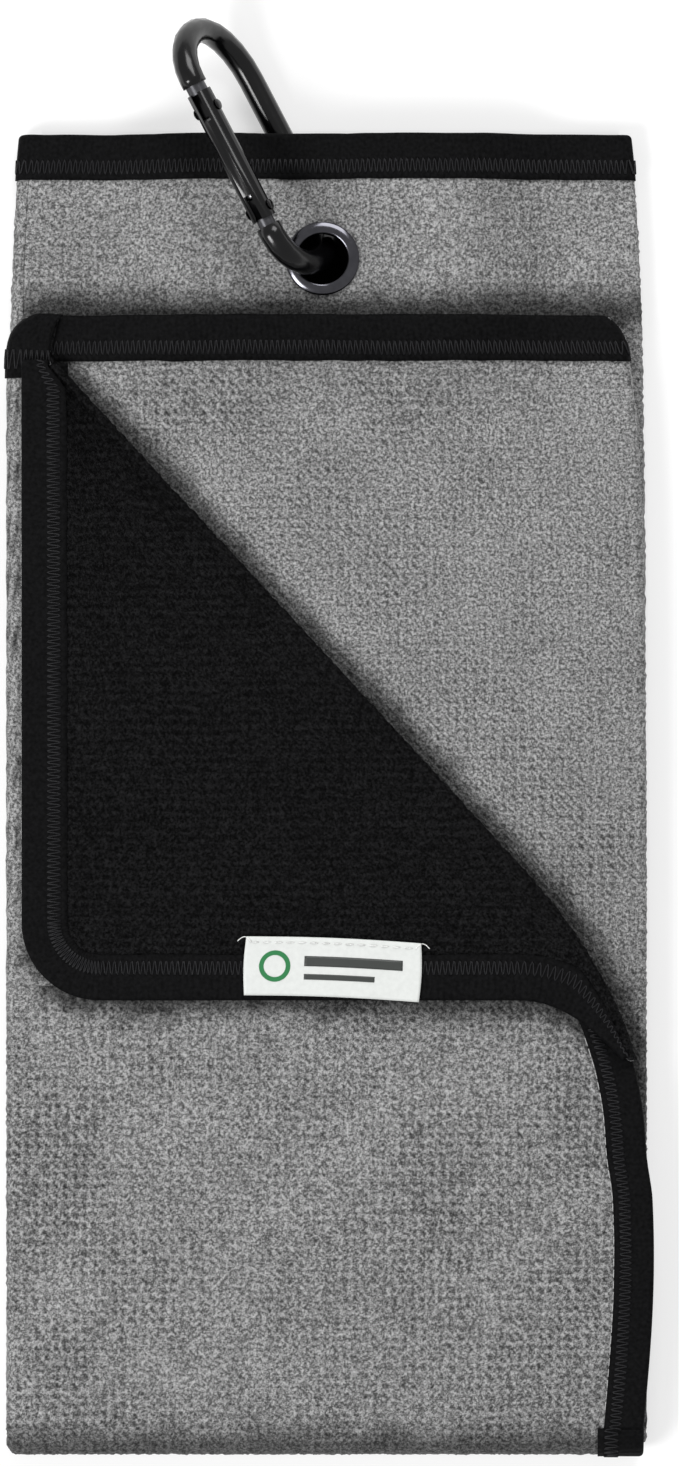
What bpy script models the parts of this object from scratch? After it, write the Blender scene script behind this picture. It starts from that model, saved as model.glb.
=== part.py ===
"""Trifold golf towel with an eyelet and a snap clip, folded once more across its length.

The cloth is one two-tone sheet. It is folded in three across its width (inner flap, centre panel,
outer flap) and then in half across its length, so the front half lies on the rear half. The free
corner of the outer flap is turned back over a soft diagonal roll. A tape binds every edge, an eyelet
goes through the three layers of the rear half, and a snap clip hangs in the eyelet.

Frame: the towel lies on its back. +Z is up, +Y runs from the bottom fold to the clip, +X is across.
"""

import math

import bmesh
import bpy
import numpy as np
from mathutils import Matrix

# ---------------------------------------------------------------- driving dimensions, in metres
LEFT_SIDE = -0.0705            # outermost cloth of the left fold
RIGHT_SIDE = 0.0689            # outermost cloth of the right fold
BOTTOM_SIDE = -0.1563          # outermost cloth of the bottom fold
REAR_END = 0.1315              # top edge of the rear half, with its tape
FRONT_END = 0.0920             # top edge of the front half, with its tape
OUTER_FLAP_SIDE = 0.0682       # free edge of the outer flap, with its tape
OUTER_FLAP_BULGE = 0.0023      # how far that edge bows out in the front half
OUTER_FLAP_BULGE_RUN = 0.0750

CLOTH = 0.0011                 # thickness of the cloth
TAPE_WALL = 0.0003             # thickness of the binding tape
TAPE_WIDTH = 0.0090            # width of the tape on each face
TAPE_GAP = 0.00012             # between the tape and the cloth
LAYER_GAP = 0.00026            # between two taped edges that lie on each other
JOINT_GAP = 0.00024            # between the bottom fold and the halves, and where two tapes meet

REAR_TAPER_LEFT = 0.0030       # how far the rear half draws in at its top edge
REAR_TAPER_RIGHT = 0.0036
REAR_TAPER_RUN = 0.0300
FRONT_TAPER_RIGHT = 0.0056     # the same on the right of the front half
FRONT_TAPER_RUN = 0.0240

CLIP_WIRE = 0.00275            # radius of the clip's bar, which passes through the eyelet
CLIP_PLAY = 0.0026             # between the bar and the eyelet's bore

EYELET_X = -0.0017
EYELET_Y = 0.1040
EYELET_BORE = CLIP_WIRE + CLIP_PLAY    # radius
EYELET_WALL = 0.0004
FLANGE_WIDTH = 0.00265
EYELET_FLANGE = EYELET_BORE + FLANGE_WIDTH     # radius
EYELET_FLANGE_HEIGHT = 0.0009
EYELET_CLEARANCE = 0.0002      # around the barrel, and under the flanges
PINCHED_GAP = 0.0002           # between the layers that the eyelet holds together
PINCH_FLAT = EYELET_FLANGE + 0.0044    # the layers are flat and pinched inside this radius
PINCH_END = PINCH_FLAT + 0.0060        # and have their full spacing outside this one

LIFT = 0.0083                  # the clip's spine under the cloth lifts it by this
LIFT_START = 0.0660            # where the cloth starts to rise
LIFT_TOP = 0.0953              # where it is level again
LIFT_HALF_FLAT = 0.0285        # half width of the level stretch
LIFT_HALF_END = 0.0540         # the lift fades out here

ROLL_TOP = (-0.0591, 0.0808)   # outline of the diagonal roll: where it starts, at the upper left
ROLL_BEND = (0.0412, -0.0282)  # where it stops being straight
ROLL_FOOT = (0.0694, -0.0907)  # where it runs into the free edge
CORNER_LEFT = -0.0671          # free edges of the turned corner
CORNER_BOTTOM = -0.0572
CORNER_RADIUS = 0.0160
CORNER_TAIL = (0.0578, -0.0642)    # the bottom edge sinks to here beside the roll
CORNER_TAIL_START = 0.0410
CORNER_TAIL_ROOM = (0.75, 0.55)    # share of the tape's width at the last two stations there
OUTER_TAPE_END = -0.0600           # the outer flap's tape stops here, under the turned corner

LABEL_SIZE = (0.0387, 0.0128)
LABEL_THICKNESS = 0.00045
LABEL_CENTRE = (0.0005, -0.0504)
LABEL_TURN = math.radians(-2.3)
LABEL_GAP = 0.0003

CLIP_LEAN = math.radians(27.5)   # about +Z, towards the left
CLIP_SPAN = 0.0250               # between the gate's axis and the spine's axis
CLIP_TILT = math.radians(62.1)   # of the ring's plane, about its long axis
CLIP_FLOOR_GAP = 0.0004          # under the spine
CLIP_TOP = 0.0565                # the wire's axis at the far end, from the eyelet's axis
CLIP_NEAR = 0.0001               # the wire's axis at the near end
CLIP_NEAR_DEPTH = 0.0090         # depth of the near bend
CLIP_TOP_DEPTH_GATE = 0.0095     # depth of the far bend, on the gate's side
CLIP_TOP_DEPTH_SPINE = 0.0145    # and on the spine's side
CLIP_SHIFT = -0.0015             # of the ring's middle from the eyelet's axis

HINGE_AT = 0.0152                # along the clip, from the eyelet's axis
LATCH_AT = 0.0396
BODY_END_NEAR = 0.0113           # ends of the bent bar
BODY_END_FAR = 0.0456
GATE_NEAR = 0.0130               # ends of the gate
GATE_FAR = 0.0438
TONGUE_THICKNESS = 0.0014
TONGUE_HALF_WIDTH = 0.0017
SLOT_CLEARANCE = 0.0002
SLOT_DEPTH_NEAR = 0.0060
SLOT_DEPTH_FAR = 0.0066
PIN_RADIUS = 0.0007
PIN_HEAD_RADIUS = 0.0012
PIN_HEAD_HEIGHT = 0.0004
PIN_CLEARANCE = 0.0001
PIN_HOLE_REACH = 0.0040          # the drills pass right through the bar
BAR_OVERLAP = 0.0015             # how deep each tongue is rooted in the bar
LUG_TIP = 0.0027                 # end of the hinge tongue, from the pin's axis
LUG_CHAMFER = 0.0003
NOTCH_CLEARANCE = 0.0002         # around the latch pin
NOTCH_WALL = 0.0009              # below the notch
NOTCH_CHAMFER = 0.0004
GATE_BORE = 0.0016
GATE_BORE_DEPTH = 0.0145
GATE_BORE_MOUTH = 0.0010         # how far the bore reaches back into the slot's cheeks
PLUNGER_HEAD = 0.0013            # radius
PLUNGER_HEAD_LENGTH = 0.0020
PLUNGER_STEM = 0.0006
PLUNGER_STEM_LENGTH = 0.0030
PLUNGER_CHAMFER = 0.0003
PLUNGER_GAP = 0.0003             # to the hinge tongue
SPRING_GAP = 0.0006              # behind the plunger's head, room for its travel
SPRING_SEAT_GAP = 0.0003         # at the bore's end
SPRING_RADIUS = 0.0011
SPRING_WIRE = 0.00018            # radius
SPRING_TURNS = 7

BEND_STEPS = 6                   # facets of a side fold
FOLD_STEPS = 8                   # facets of the bottom fold
TURNED_SIDES = 32                # of the eyelet
PIN_SIDES = 16
HOLE_SIDES = 20

# ---------------------------------------------------------------- worked out from them
TAPE_REACH = CLOTH / 2 + TAPE_GAP + TAPE_WALL / 2      # from the cloth's middle to the tape's middle
TAPE_HALF = TAPE_REACH + TAPE_WALL / 2                 # half thickness of a taped edge
PITCH = 2 * TAPE_HALF + LAYER_GAP                      # from layer to layer
LEVEL_CENTRE = PITCH / 2                               # distance of each layer from the middle plane
LEVEL_INNER = LEVEL_CENTRE + PITCH
LEVEL_OUTER = LEVEL_CENTRE + 2 * PITCH
LEVEL_CORNER = LEVEL_CENTRE + 3 * PITCH
MIDDLE_Z = LEVEL_OUTER + TAPE_HALF                     # the plane between the two halves

RIGHT_BEND = RIGHT_SIDE - CLOTH / 2 - PITCH / 2        # axes of the side folds
LEFT_BEND = LEFT_SIDE + CLOTH / 2 + PITCH
FOLD_Y = BOTTOM_SIDE + CLOTH / 2 + LEVEL_OUTER         # axis of the bottom fold
INNER_FLAP_EDGE = LEFT_BEND + 2 * TAPE_HALF            # the cloth's edge of the inner flap
OUTER_FLAP_EDGE = OUTER_FLAP_SIDE - TAPE_HALF
REAR_EDGE = REAR_END - TAPE_HALF
FRONT_EDGE = FRONT_END - TAPE_HALF
CORNER_EDGE_X = CORNER_LEFT + TAPE_HALF
CORNER_EDGE_Y = CORNER_BOTTOM + TAPE_HALF

PINCHED_PITCH = CLOTH + PINCHED_GAP
EYELET_Z = MIDDLE_Z - LEVEL_INNER + LIFT               # middle of the rear stack at the eyelet
PINCHED_HALF = PINCHED_PITCH + CLOTH / 2               # half thickness of the pinched stack
CLIP_Z = CLIP_FLOOR_GAP + CLIP_WIRE + CLIP_SPAN / 2 * math.sin(CLIP_TILT)

# ---------------------------------------------------------------- where the sheet's grid lines run
BESIDE_EYELET = EYELET_FLANGE + 0.0008
AROUND_PINCH = (PINCH_FLAT + PINCH_END) / 2
LIFT_HALF_MIDDLE = (LIFT_HALF_FLAT + LIFT_HALF_END) / 2
COLUMN_OFFSETS = (BESIDE_EYELET, PINCH_END, LIFT_HALF_FLAT, LIFT_HALF_MIDDLE, LIFT_HALF_END)
COLUMNS = sorted([EYELET_X] + [EYELET_X + side * offset for offset in COLUMN_OFFSETS for side in (-1, 1)])
REAR_FLAT_ROWS = (-0.050, 0.035)
CORNER_SIDE_ROWS = (ROLL_TOP[1] - 0.0010, (ROLL_TOP[1] + LIFT_START) / 2, LIFT_START, 0.040, 0.010, -0.020)
CORNER_BOTTOM_COLUMNS = (-0.020, 0.000, 0.020)
FRONT_LOW_ROWS = (-0.115, -0.080, -0.070, -0.063)

COLOURS = {
    "grey_waffle": ((0.22, 0.22, 0.22, 1.0), 0.95, 0.0),
    "black_tape": ((0.010, 0.010, 0.011, 1.0), 0.80, 0.0),
    "satin": ((0.80, 0.80, 0.78, 1.0), 0.45, 0.0),
    "gunmetal": ((0.030, 0.030, 0.032, 1.0), 0.25, 1.0),
    "black_anodised": ((0.008, 0.008, 0.009, 1.0), 0.22, 0.6),
    "bare_steel": ((0.55, 0.55, 0.56, 1.0), 0.30, 1.0),
}


# ---------------------------------------------------------------- small tools
def clear_scene():
    """Remove what the scene holds, so that a second run starts afresh."""
    for thing in list(bpy.data.objects):
        bpy.data.objects.remove(thing, do_unlink=True)
    for collection in list(bpy.data.collections):
        bpy.data.collections.remove(collection)


def make_collection(name):
    collection = bpy.data.collections.new(name)
    bpy.context.scene.collection.children.link(collection)
    return collection


def make_material(name):
    colour, roughness, metallic = COLOURS[name]
    material = bpy.data.materials.new(name)
    material.use_nodes = True
    shader = material.node_tree.nodes["Principled BSDF"]
    shader.inputs["Base Color"].default_value = colour
    shader.inputs["Roughness"].default_value = roughness
    shader.inputs["Metallic"].default_value = metallic
    return material


def smoothstep(value):
    """0 below 0, 1 above 1, and a smooth S between."""
    value = np.clip(value, 0.0, 1.0)
    return value * value * (3.0 - 2.0 * value)


def add_object(name, mesh, collection, material, parent=None):
    """Put a mesh into the scene as one named piece."""
    piece = bpy.data.objects.new(name, mesh)
    collection.objects.link(piece)
    mesh.materials.clear()
    mesh.materials.append(material)
    piece.parent = parent
    return piece


def grid_mesh(name, points):
    """A sheet through points[row, column] = (x, y, z).

    Every quad is split from its corner nearest -X and -Y to the opposite one, so that layers that
    lie on each other bend alike.
    """
    rows, columns = points.shape[:2]
    sheet = bmesh.new()
    bmesh.ops.create_grid(sheet, x_segments=columns - 1, y_segments=rows - 1, size=1.0)
    sheet.verts.ensure_lookup_table()
    place_x = np.array([vert.co.x for vert in sheet.verts])
    place_y = np.array([vert.co.y for vert in sheet.verts])
    column = np.rint((place_x + 1.0) / 2.0 * (columns - 1)).astype(int)
    row = np.rint((place_y + 1.0) / 2.0 * (rows - 1)).astype(int)
    for vert, r, c in zip(sheet.verts, row, column):
        vert.co = points[r, c]
    for face in list(sheet.faces):
        corners = sorted(face.verts, key=lambda vert: vert.co.x + vert.co.y)
        if not any(edge.other_vert(corners[0]) == corners[-1] for edge in corners[0].link_edges):
            bmesh.utils.face_split(face, corners[0], corners[-1])
    bmesh.ops.triangulate(sheet, faces=sheet.faces)
    mesh = bpy.data.meshes.new(name)
    sheet.to_mesh(mesh)
    sheet.free()
    return mesh


def thicken(piece, thickness):
    """Give a sheet its thickness, half on each side."""
    wall = piece.modifiers.new("wall", "SOLIDIFY")
    wall.thickness = thickness
    wall.offset = 0.0
    wall.use_even_offset = True
    return piece


def cut(piece, cutter, operation="DIFFERENCE"):
    step = piece.modifiers.new(operation.lower(), "BOOLEAN")
    step.operation = operation
    step.object = cutter
    return piece


def make_cutter(piece):
    """Keep a helper solid out of the model."""
    piece.hide_render = True
    piece.display_type = "WIRE"
    return piece


# ---------------------------------------------------------------- the folded cloth
def lift(x, y):
    """Height that the clip's spine gives the cloth: an S along y, fading out on both sides."""
    along = smoothstep((y - LIFT_START) / (LIFT_TOP - LIFT_START))
    across = 1.0 - smoothstep((np.abs(x - EYELET_X) - LIFT_HALF_FLAT) / (LIFT_HALF_END - LIFT_HALF_FLAT))
    return LIFT * along * across


def pinch(x, y):
    """Share of the layers' spacing that is left near the eyelet."""
    radius = np.hypot(x - EYELET_X, y - EYELET_Y)
    released = smoothstep((radius - PINCH_FLAT) / (PINCH_END - PINCH_FLAT))
    least = PINCHED_PITCH / PITCH
    return least + (1.0 - least) * released


def narrowed(half, x, y):
    """Draw the sides in towards the open end of a half."""
    if half == "rear":
        fade = np.exp((y - REAR_END) / REAR_TAPER_RUN)
        left, right = REAR_TAPER_LEFT * fade, REAR_TAPER_RIGHT * fade
    else:
        left = 0.0
        right = FRONT_TAPER_RIGHT * np.exp((y - FRONT_END) / FRONT_TAPER_RUN)
    share = (x - LEFT_SIDE) / (RIGHT_SIDE - LEFT_SIDE)
    return x + left * (1.0 - share) - right * share


def place(half, x, level, y):
    """Point of the folded stack: level is the distance from the plane between the two halves."""
    x, level, y = np.broadcast_arrays(*(np.asarray(value, float) for value in (x, level, y)))
    moved = narrowed(half, x, y)
    if half == "rear":
        depth = LEVEL_INNER + (level - LEVEL_INNER) * pinch(moved, y)
        z = MIDDLE_Z - depth + lift(moved, y)
    else:
        z = MIDDLE_Z + level + lift(moved, y)
    return np.stack([moved, y, z], axis=-1)


def fold_place(x, level, angle):
    """Point of the bottom fold: angle runs from 0 at the rear half to pi at the front half."""
    x, level, angle = np.broadcast_arrays(*(np.asarray(value, float) for value in (x, level, angle)))
    return np.stack([x, FOLD_Y - level * np.sin(angle), MIDDLE_Z - level * np.cos(angle)], axis=-1)


def section(outer_end=OUTER_FLAP_EDGE, steps=BEND_STEPS):
    """Stations across one half, from the inner flap's edge round both side folds to outer_end.

    Each row is x, level and the outward normal in x and level. The flat stretches share their
    columns, and each side fold is a half circle.
    """
    inner = [x for x in COLUMNS if INNER_FLAP_EDGE < x < RIGHT_BEND]
    centre = [x for x in COLUMNS if LEFT_BEND < x < RIGHT_BEND]
    share = [(x - LEFT_BEND) / (OUTER_FLAP_EDGE - LEFT_BEND) for x in centre]
    outer = [LEFT_BEND + (outer_end - LEFT_BEND) * part for part in share]
    rows = [(x, LEVEL_INNER, 0.0, 1.0) for x in [INNER_FLAP_EDGE] + inner]
    for step in range(steps + 1):
        angle = math.pi / 2 - math.pi * step / steps
        side, up = math.cos(angle), math.sin(angle)
        rows.append((RIGHT_BEND + PITCH / 2 * side, PITCH + PITCH / 2 * up, side, up))
    rows += [(x, LEVEL_CENTRE, 0.0, -1.0) for x in reversed(centre)]
    for step in range(steps + 1):
        angle = -math.pi / 2 - math.pi * step / steps
        side, up = math.cos(angle), math.sin(angle)
        rows.append((LEFT_BEND + PITCH * side, LEVEL_INNER + PITCH * up, side, up))
    rows += [(x, LEVEL_OUTER, 0.0, 1.0) for x in outer + [outer_end]]
    return np.array(rows)


def outer_flap_x(y):
    """Free edge of the outer flap's cloth in the front half."""
    share = min(max((y - FOLD_Y) / OUTER_FLAP_BULGE_RUN, 0.0), 1.0)
    return OUTER_FLAP_EDGE + OUTER_FLAP_BULGE * math.sin(math.pi * share)


def roll_x(y):
    """Axis of the diagonal roll at a height y: straight, then a curve that turns down."""
    reach = PITCH / 2 + CLOTH / 2
    top, bend, foot = ((x - reach, along) for x, along in (ROLL_TOP, ROLL_BEND, ROLL_FOOT))
    slope = (bend[0] - top[0]) / (bend[1] - top[1])
    if y >= top[1]:
        return top[0]
    if y >= bend[1]:
        return top[0] + slope * (y - top[1])
    if y <= foot[1]:
        return foot[0]
    run = foot[1] - bend[1]
    t = (y - bend[1]) / run
    start = (1 + 2 * t) * (1 - t) ** 2 * bend[0] + t * (1 - t) ** 2 * slope * run
    return start + t * t * (3 - 2 * t) * foot[0]


def corner_x(y):
    """Left edge of the turned corner's cloth at a height y, round its rounded corner."""
    drop = CORNER_EDGE_Y + CORNER_RADIUS - y
    if drop <= 0.0:
        return CORNER_EDGE_X
    drop = min(drop, CORNER_RADIUS)
    return CORNER_EDGE_X + CORNER_RADIUS - math.sqrt(CORNER_RADIUS ** 2 - drop ** 2)


def rear_rows():
    """Grid lines of the rear half along y, closer where the cloth rises."""
    taped = (REAR_EDGE - TAPE_WIDTH, REAR_EDGE - TAPE_WIDTH / 2, REAR_EDGE)
    rise = np.linspace(LIFT_START, EYELET_Y - BESIDE_EYELET, 6)
    around = (EYELET_Y, EYELET_Y + BESIDE_EYELET, EYELET_Y + AROUND_PINCH)
    return np.array([FOLD_Y, *REAR_FLAT_ROWS, *rise, *around, *taped])


def corner_rows():
    """Grid lines of the turned corner along y, down to its bottom edge."""
    arc = [CORNER_EDGE_Y + CORNER_RADIUS * (1.0 - math.sin(angle)) for angle in np.radians([0, 30, 55, 90])]
    return np.array([*CORNER_SIDE_ROWS, *arc])


def front_rows():
    """Grid lines of the front half along y: those of the turned corner and the rest."""
    taped = (FRONT_EDGE - TAPE_WIDTH, FRONT_EDGE - TAPE_WIDTH / 2, FRONT_EDGE)
    return np.array(sorted([FOLD_Y, ROLL_FOOT[1], *FRONT_LOW_ROWS, *corner_rows(), *taped]))


def build_cloth(collection, materials):
    """The sheet in three pieces: rear half, bottom fold, and front half with its turned corner."""
    stations = section()
    x, level = stations[:, 0], stations[:, 1]

    rows = rear_rows()
    rear_mesh = grid_mesh("rear_cloth", place("rear", x[None, :], level[None, :], rows[:, None]))
    rear = add_object("rear_cloth", rear_mesh, collection, materials["grey_waffle"])
    thicken(rear, CLOTH)
    bpy.ops.mesh.primitive_cylinder_add(
        vertices=TURNED_SIDES, radius=EYELET_BORE + EYELET_WALL + EYELET_CLEARANCE, depth=4 * PITCH,
        location=(EYELET_X, EYELET_Y, EYELET_Z))
    punch = make_cutter(bpy.context.object)
    punch.name = "eyelet_punch"
    cut(rear, punch)

    angles = np.linspace(0.0, math.pi, FOLD_STEPS + 1)
    fold_mesh = grid_mesh("bottom_fold_cloth", fold_place(x[None, :], level[None, :], angles[:, None]))
    fold = add_object("bottom_fold_cloth", fold_mesh, collection, materials["grey_waffle"])
    thicken(fold, CLOTH)

    rows = front_rows()
    lines = []
    for y in rows:
        across = section(min(outer_flap_x(y), roll_x(y)))
        lines.append(place("front", across[:, 0], across[:, 1], y))
    front_mesh = grid_mesh("front_cloth", np.array(lines))
    corner = corner_sheet()
    join_sheets(front_mesh, corner)
    bpy.data.meshes.remove(corner)
    front = add_object("front_cloth", front_mesh, collection, materials["grey_waffle"])
    thicken(front, CLOTH)
    for half in (rear, front):
        part_from_fold(half)
    return punch


def part_from_fold(half):
    """Keep a hair between the bottom fold and a half, along the fold's axis."""
    for vert in half.data.vertices:
        if abs(vert.co.y - FOLD_Y) < JOINT_GAP / 2:
            vert.co.y += JOINT_GAP


def corner_sheet():
    """The roll and the turned-back corner: each row leaves the outer flap at the roll,
    turns over a half circle and runs back to the corner's free edge."""
    steps = BEND_STEPS
    lines = []
    for y in corner_rows():
        turn = [math.pi / 2 * (2 * step / steps - 1) for step in range(steps + 1)]
        x = [roll_x(y) + PITCH / 2 * math.cos(angle) for angle in turn]
        level = [LEVEL_OUTER + PITCH / 2 + PITCH / 2 * math.sin(angle) for angle in turn]
        inside = [part * corner_x(y) + (1.0 - part) * roll_x(y) for part in np.linspace(0.0, 1.0, 7)[1:]]
        x += inside
        level += [LEVEL_CORNER] * len(inside)
        lines.append(place("front", np.array(x), np.array(level), y))
    return grid_mesh("turned_corner", np.array(lines))


def join_sheets(mesh, other):
    """Add another sheet to a mesh and sew the grid points that they share."""
    sheet = bmesh.new()
    sheet.from_mesh(mesh)
    sheet.from_mesh(other)
    bmesh.ops.remove_doubles(sheet, verts=sheet.verts, dist=1e-6)
    bmesh.ops.recalc_face_normals(sheet, faces=sheet.faces)
    sheet.to_mesh(mesh)
    sheet.free()


# ---------------------------------------------------------------- the binding tape
def tape_profile():
    """The tape's cross-section: distance in from the cloth's edge, and offset from its middle."""
    nose = [(-TAPE_REACH * math.cos(angle), TAPE_REACH * math.sin(angle))
            for angle in np.radians([60, 20, -20, -60])]
    flat = TAPE_WIDTH
    return [(flat, TAPE_REACH), (flat / 2, TAPE_REACH), (0.0, TAPE_REACH), *nose,
            (0.0, -TAPE_REACH), (flat / 2, -TAPE_REACH), (flat, -TAPE_REACH)]


def end_tape(name, half, edge, stations, collection, material):
    """Tape round the end of a half: it follows the section through all three layers."""
    lines = []
    for inward, offset in tape_profile():
        x = stations[:, 0] + stations[:, 2] * offset
        level = stations[:, 1] + stations[:, 3] * offset
        lines.append(place(half, x, level, edge - inward))
    piece = add_object(name, grid_mesh(name, np.array(lines)), collection, material)
    return thicken(piece, TAPE_WALL)


def side_tape(name, position, x_edge, side, level, rows, collection, material):
    """Tape along a flap's free edge. side is +1 where the cloth lies on the +X side of the edge."""
    lines = []
    for inward, offset in tape_profile():
        lines.append(position(x_edge + side * inward, level + offset, rows))
    piece = add_object(name, grid_mesh(name, np.array(lines)), collection, material)
    return thicken(piece, TAPE_WALL)


def build_edge_tapes(collection, materials):
    """The tape round the sheet, in the lengths that each half and the fold carry."""
    tape = materials["black_tape"]
    end_tape("rear_end_binding", "rear", REAR_EDGE, section(), collection, tape)
    end_tape("front_end_binding", "front", FRONT_EDGE, section(roll_x(FRONT_EDGE)), collection, tape)

    def between(rows, start, end):
        """Start just off the bottom fold and follow the sheet's rows to an end."""
        return np.array([start, *rows[(rows > start) & (rows < end)], end])

    start = FOLD_Y + JOINT_GAP
    under_end_tape = TAPE_WIDTH + JOINT_GAP + TAPE_WALL
    rear = between(rear_rows(), start, REAR_EDGE - under_end_tape)
    inner = between(front_rows(), start, FRONT_EDGE - under_end_tape)
    outer = front_rows()
    outer = np.array([start, *outer[(outer > start) & (outer < OUTER_TAPE_END)]])
    angles = np.linspace(0.0, math.pi, FOLD_STEPS + 1)

    def in_rear(x, level, y):
        return place("rear", x, level, y)

    def in_front(x, level, y):
        return place("front", x, level, y)

    inner_edge = (INNER_FLAP_EDGE, 1, LEVEL_INNER)
    side_tape("inner_edge_binding_rear", in_rear, *inner_edge, rear, collection, tape)
    side_tape("inner_edge_binding_fold", fold_place, *inner_edge, angles, collection, tape)
    side_tape("inner_edge_binding_front", in_front, *inner_edge, inner, collection, tape)
    outer_edge = (OUTER_FLAP_EDGE, -1, LEVEL_OUTER)
    side_tape("outer_edge_binding_rear", in_rear, *outer_edge, rear, collection, tape)
    side_tape("outer_edge_binding_fold", fold_place, *outer_edge, angles, collection, tape)
    bowed = np.array([min(outer_flap_x(y), roll_x(y)) for y in outer])
    side_tape("outer_edge_binding_front", in_front, bowed, -1, LEVEL_OUTER, outer, collection, tape)


def corner_edge_path():
    """Edge of the turned corner's cloth: down the left, round the corner, along the bottom and
    down the tail. Each row is x, y, and the direction into the cloth."""
    rows = [(CORNER_EDGE_X, y, 1.0, 0.0) for y in CORNER_SIDE_ROWS]
    centre = (CORNER_EDGE_X + CORNER_RADIUS, CORNER_EDGE_Y + CORNER_RADIUS)
    for angle in np.radians([180, 202, 225, 248, 270]):
        side, up = math.cos(angle), math.sin(angle)
        rows.append((centre[0] + CORNER_RADIUS * side, centre[1] + CORNER_RADIUS * up, -side, -up))
    rows += [(x, CORNER_EDGE_Y, 0.0, 1.0) for x in CORNER_BOTTOM_COLUMNS]
    start, end = CORNER_TAIL_START, CORNER_TAIL
    for step in range(4):
        t = step / 3
        drop = (end[1] - CORNER_BOTTOM) * t * t
        slope = 2 * t * (end[1] - CORNER_BOTTOM) / (end[0] - start)
        length = math.hypot(1.0, slope)
        rows.append((start + (end[0] - start) * t, CORNER_EDGE_Y + drop, -slope / length, 1.0 / length))
    return np.array(rows)


def build_corner_tape(collection, materials):
    """Tape round the turned corner, narrower where the roll leaves less room."""
    path = corner_edge_path()
    room = np.full(len(path), TAPE_WIDTH)
    room[0] = min(TAPE_WIDTH, roll_x(path[0, 1]) - CORNER_EDGE_X - PITCH / 2)
    room[-2:] = [TAPE_WIDTH * share for share in CORNER_TAIL_ROOM]
    lines = []
    for inward, offset in tape_profile():
        reach = inward * (room / TAPE_WIDTH) if inward > 0.0 else inward
        x = path[:, 0] + path[:, 2] * reach
        y = path[:, 1] + path[:, 3] * reach
        lines.append(place("front", x, LEVEL_CORNER + offset, y))
    piece = add_object("corner_binding", grid_mesh("corner_binding", np.array(lines)), collection,
                       materials["black_tape"])
    thicken(piece, TAPE_WALL)


def build_label(collection, materials):
    """Folded satin label sewn on the corner's bottom edge."""
    bpy.ops.mesh.primitive_cube_add(size=1.0)
    label = bpy.context.object
    label.name = "label"
    label.scale = (*LABEL_SIZE, LABEL_THICKNESS)
    bpy.ops.object.transform_apply(location=False, rotation=False, scale=True)
    label.rotation_euler = (0.0, 0.0, LABEL_TURN)
    base = MIDDLE_Z + LEVEL_CORNER + TAPE_HALF + LABEL_GAP
    label.location = (*LABEL_CENTRE, base + LABEL_THICKNESS / 2)
    move_to(label, collection, materials["satin"])


def move_to(piece, collection, material, parent=None):
    """Move an object that an operator made into its collection, under its parent."""
    for old in list(piece.users_collection):
        old.objects.unlink(piece)
    collection.objects.link(piece)
    piece.data.materials.clear()
    piece.data.materials.append(material)
    piece.parent = parent
    return piece


# ---------------------------------------------------------------- turned pieces
def turned(name, profile, sides, collection, material, parent=None):
    """Solid of revolution: profile is a closed outline of (radius, height), outer side downwards."""
    mesh = bpy.data.meshes.new(name)
    outline = bmesh.new()
    verts = [outline.verts.new((radius, 0.0, height)) for radius, height in profile]
    for first, second in zip(verts, verts[1:] + verts[:1]):
        outline.edges.new((first, second))
    outline.to_mesh(mesh)
    outline.free()
    piece = add_object(name, mesh, collection, material, parent)
    spin = piece.modifiers.new("turn", "SCREW")
    spin.steps = sides
    spin.render_steps = sides
    spin.use_merge_vertices = True
    spin.merge_threshold = 0.00001
    return piece


def build_eyelet(collection, materials):
    """Eyelet with its rolled front flange and barrel, and the washer it is set into."""
    bore, outer = EYELET_BORE, EYELET_BORE + EYELET_WALL
    flange, height = EYELET_FLANGE, EYELET_FLANGE_HEIGHT
    top = PINCHED_HALF + EYELET_CLEARANCE
    foot = -PINCHED_HALF - EYELET_CLEARANCE - height * 0.5
    crown = bore + height * 0.55
    shoulder = flange - height * 1.3
    profile = [(bore, top + height * 0.6), (crown, top + height), (shoulder, top + height * 0.8),
               (flange, top + height * 0.3), (flange, top), (outer, top), (outer, foot), (bore, foot)]
    eyelet = turned("eyelet", profile, TURNED_SIDES, collection, materials["gunmetal"])
    eyelet.location = (EYELET_X, EYELET_Y, EYELET_Z)

    inner = outer + EYELET_CLEARANCE / 2
    face = -PINCHED_HALF - EYELET_CLEARANCE
    ring = [(inner, face), (flange, face), (flange, face - height * 0.4), (shoulder, face - height * 0.7),
            (inner, face - height * 0.7)]
    washer = turned("eyelet_washer", ring, TURNED_SIDES, collection, materials["gunmetal"])
    washer.location = (EYELET_X, EYELET_Y, EYELET_Z)


# ---------------------------------------------------------------- the snap clip
def clip_empties(collection):
    """The clip turns about the eyelet's axis; its ring leans and tilts from there."""
    pivot = bpy.data.objects.new("clip_pivot", None)
    pivot.location = (EYELET_X, EYELET_Y, 0.0)
    pivot.rotation_euler = (0.0, 0.0, CLIP_LEAN)
    ring = bpy.data.objects.new("clip_ring_frame", None)
    ring.parent = pivot
    ring.location = (CLIP_SHIFT, 0.0, CLIP_Z)
    ring.rotation_euler = (0.0, CLIP_TILT, 0.0)
    gate = bpy.data.objects.new("gate_pivot", None)
    gate.parent = ring
    gate.location = (-CLIP_SPAN / 2, HINGE_AT, 0.0)
    for empty in (pivot, ring, gate):
        collection.objects.link(empty)
    return ring, gate


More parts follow.
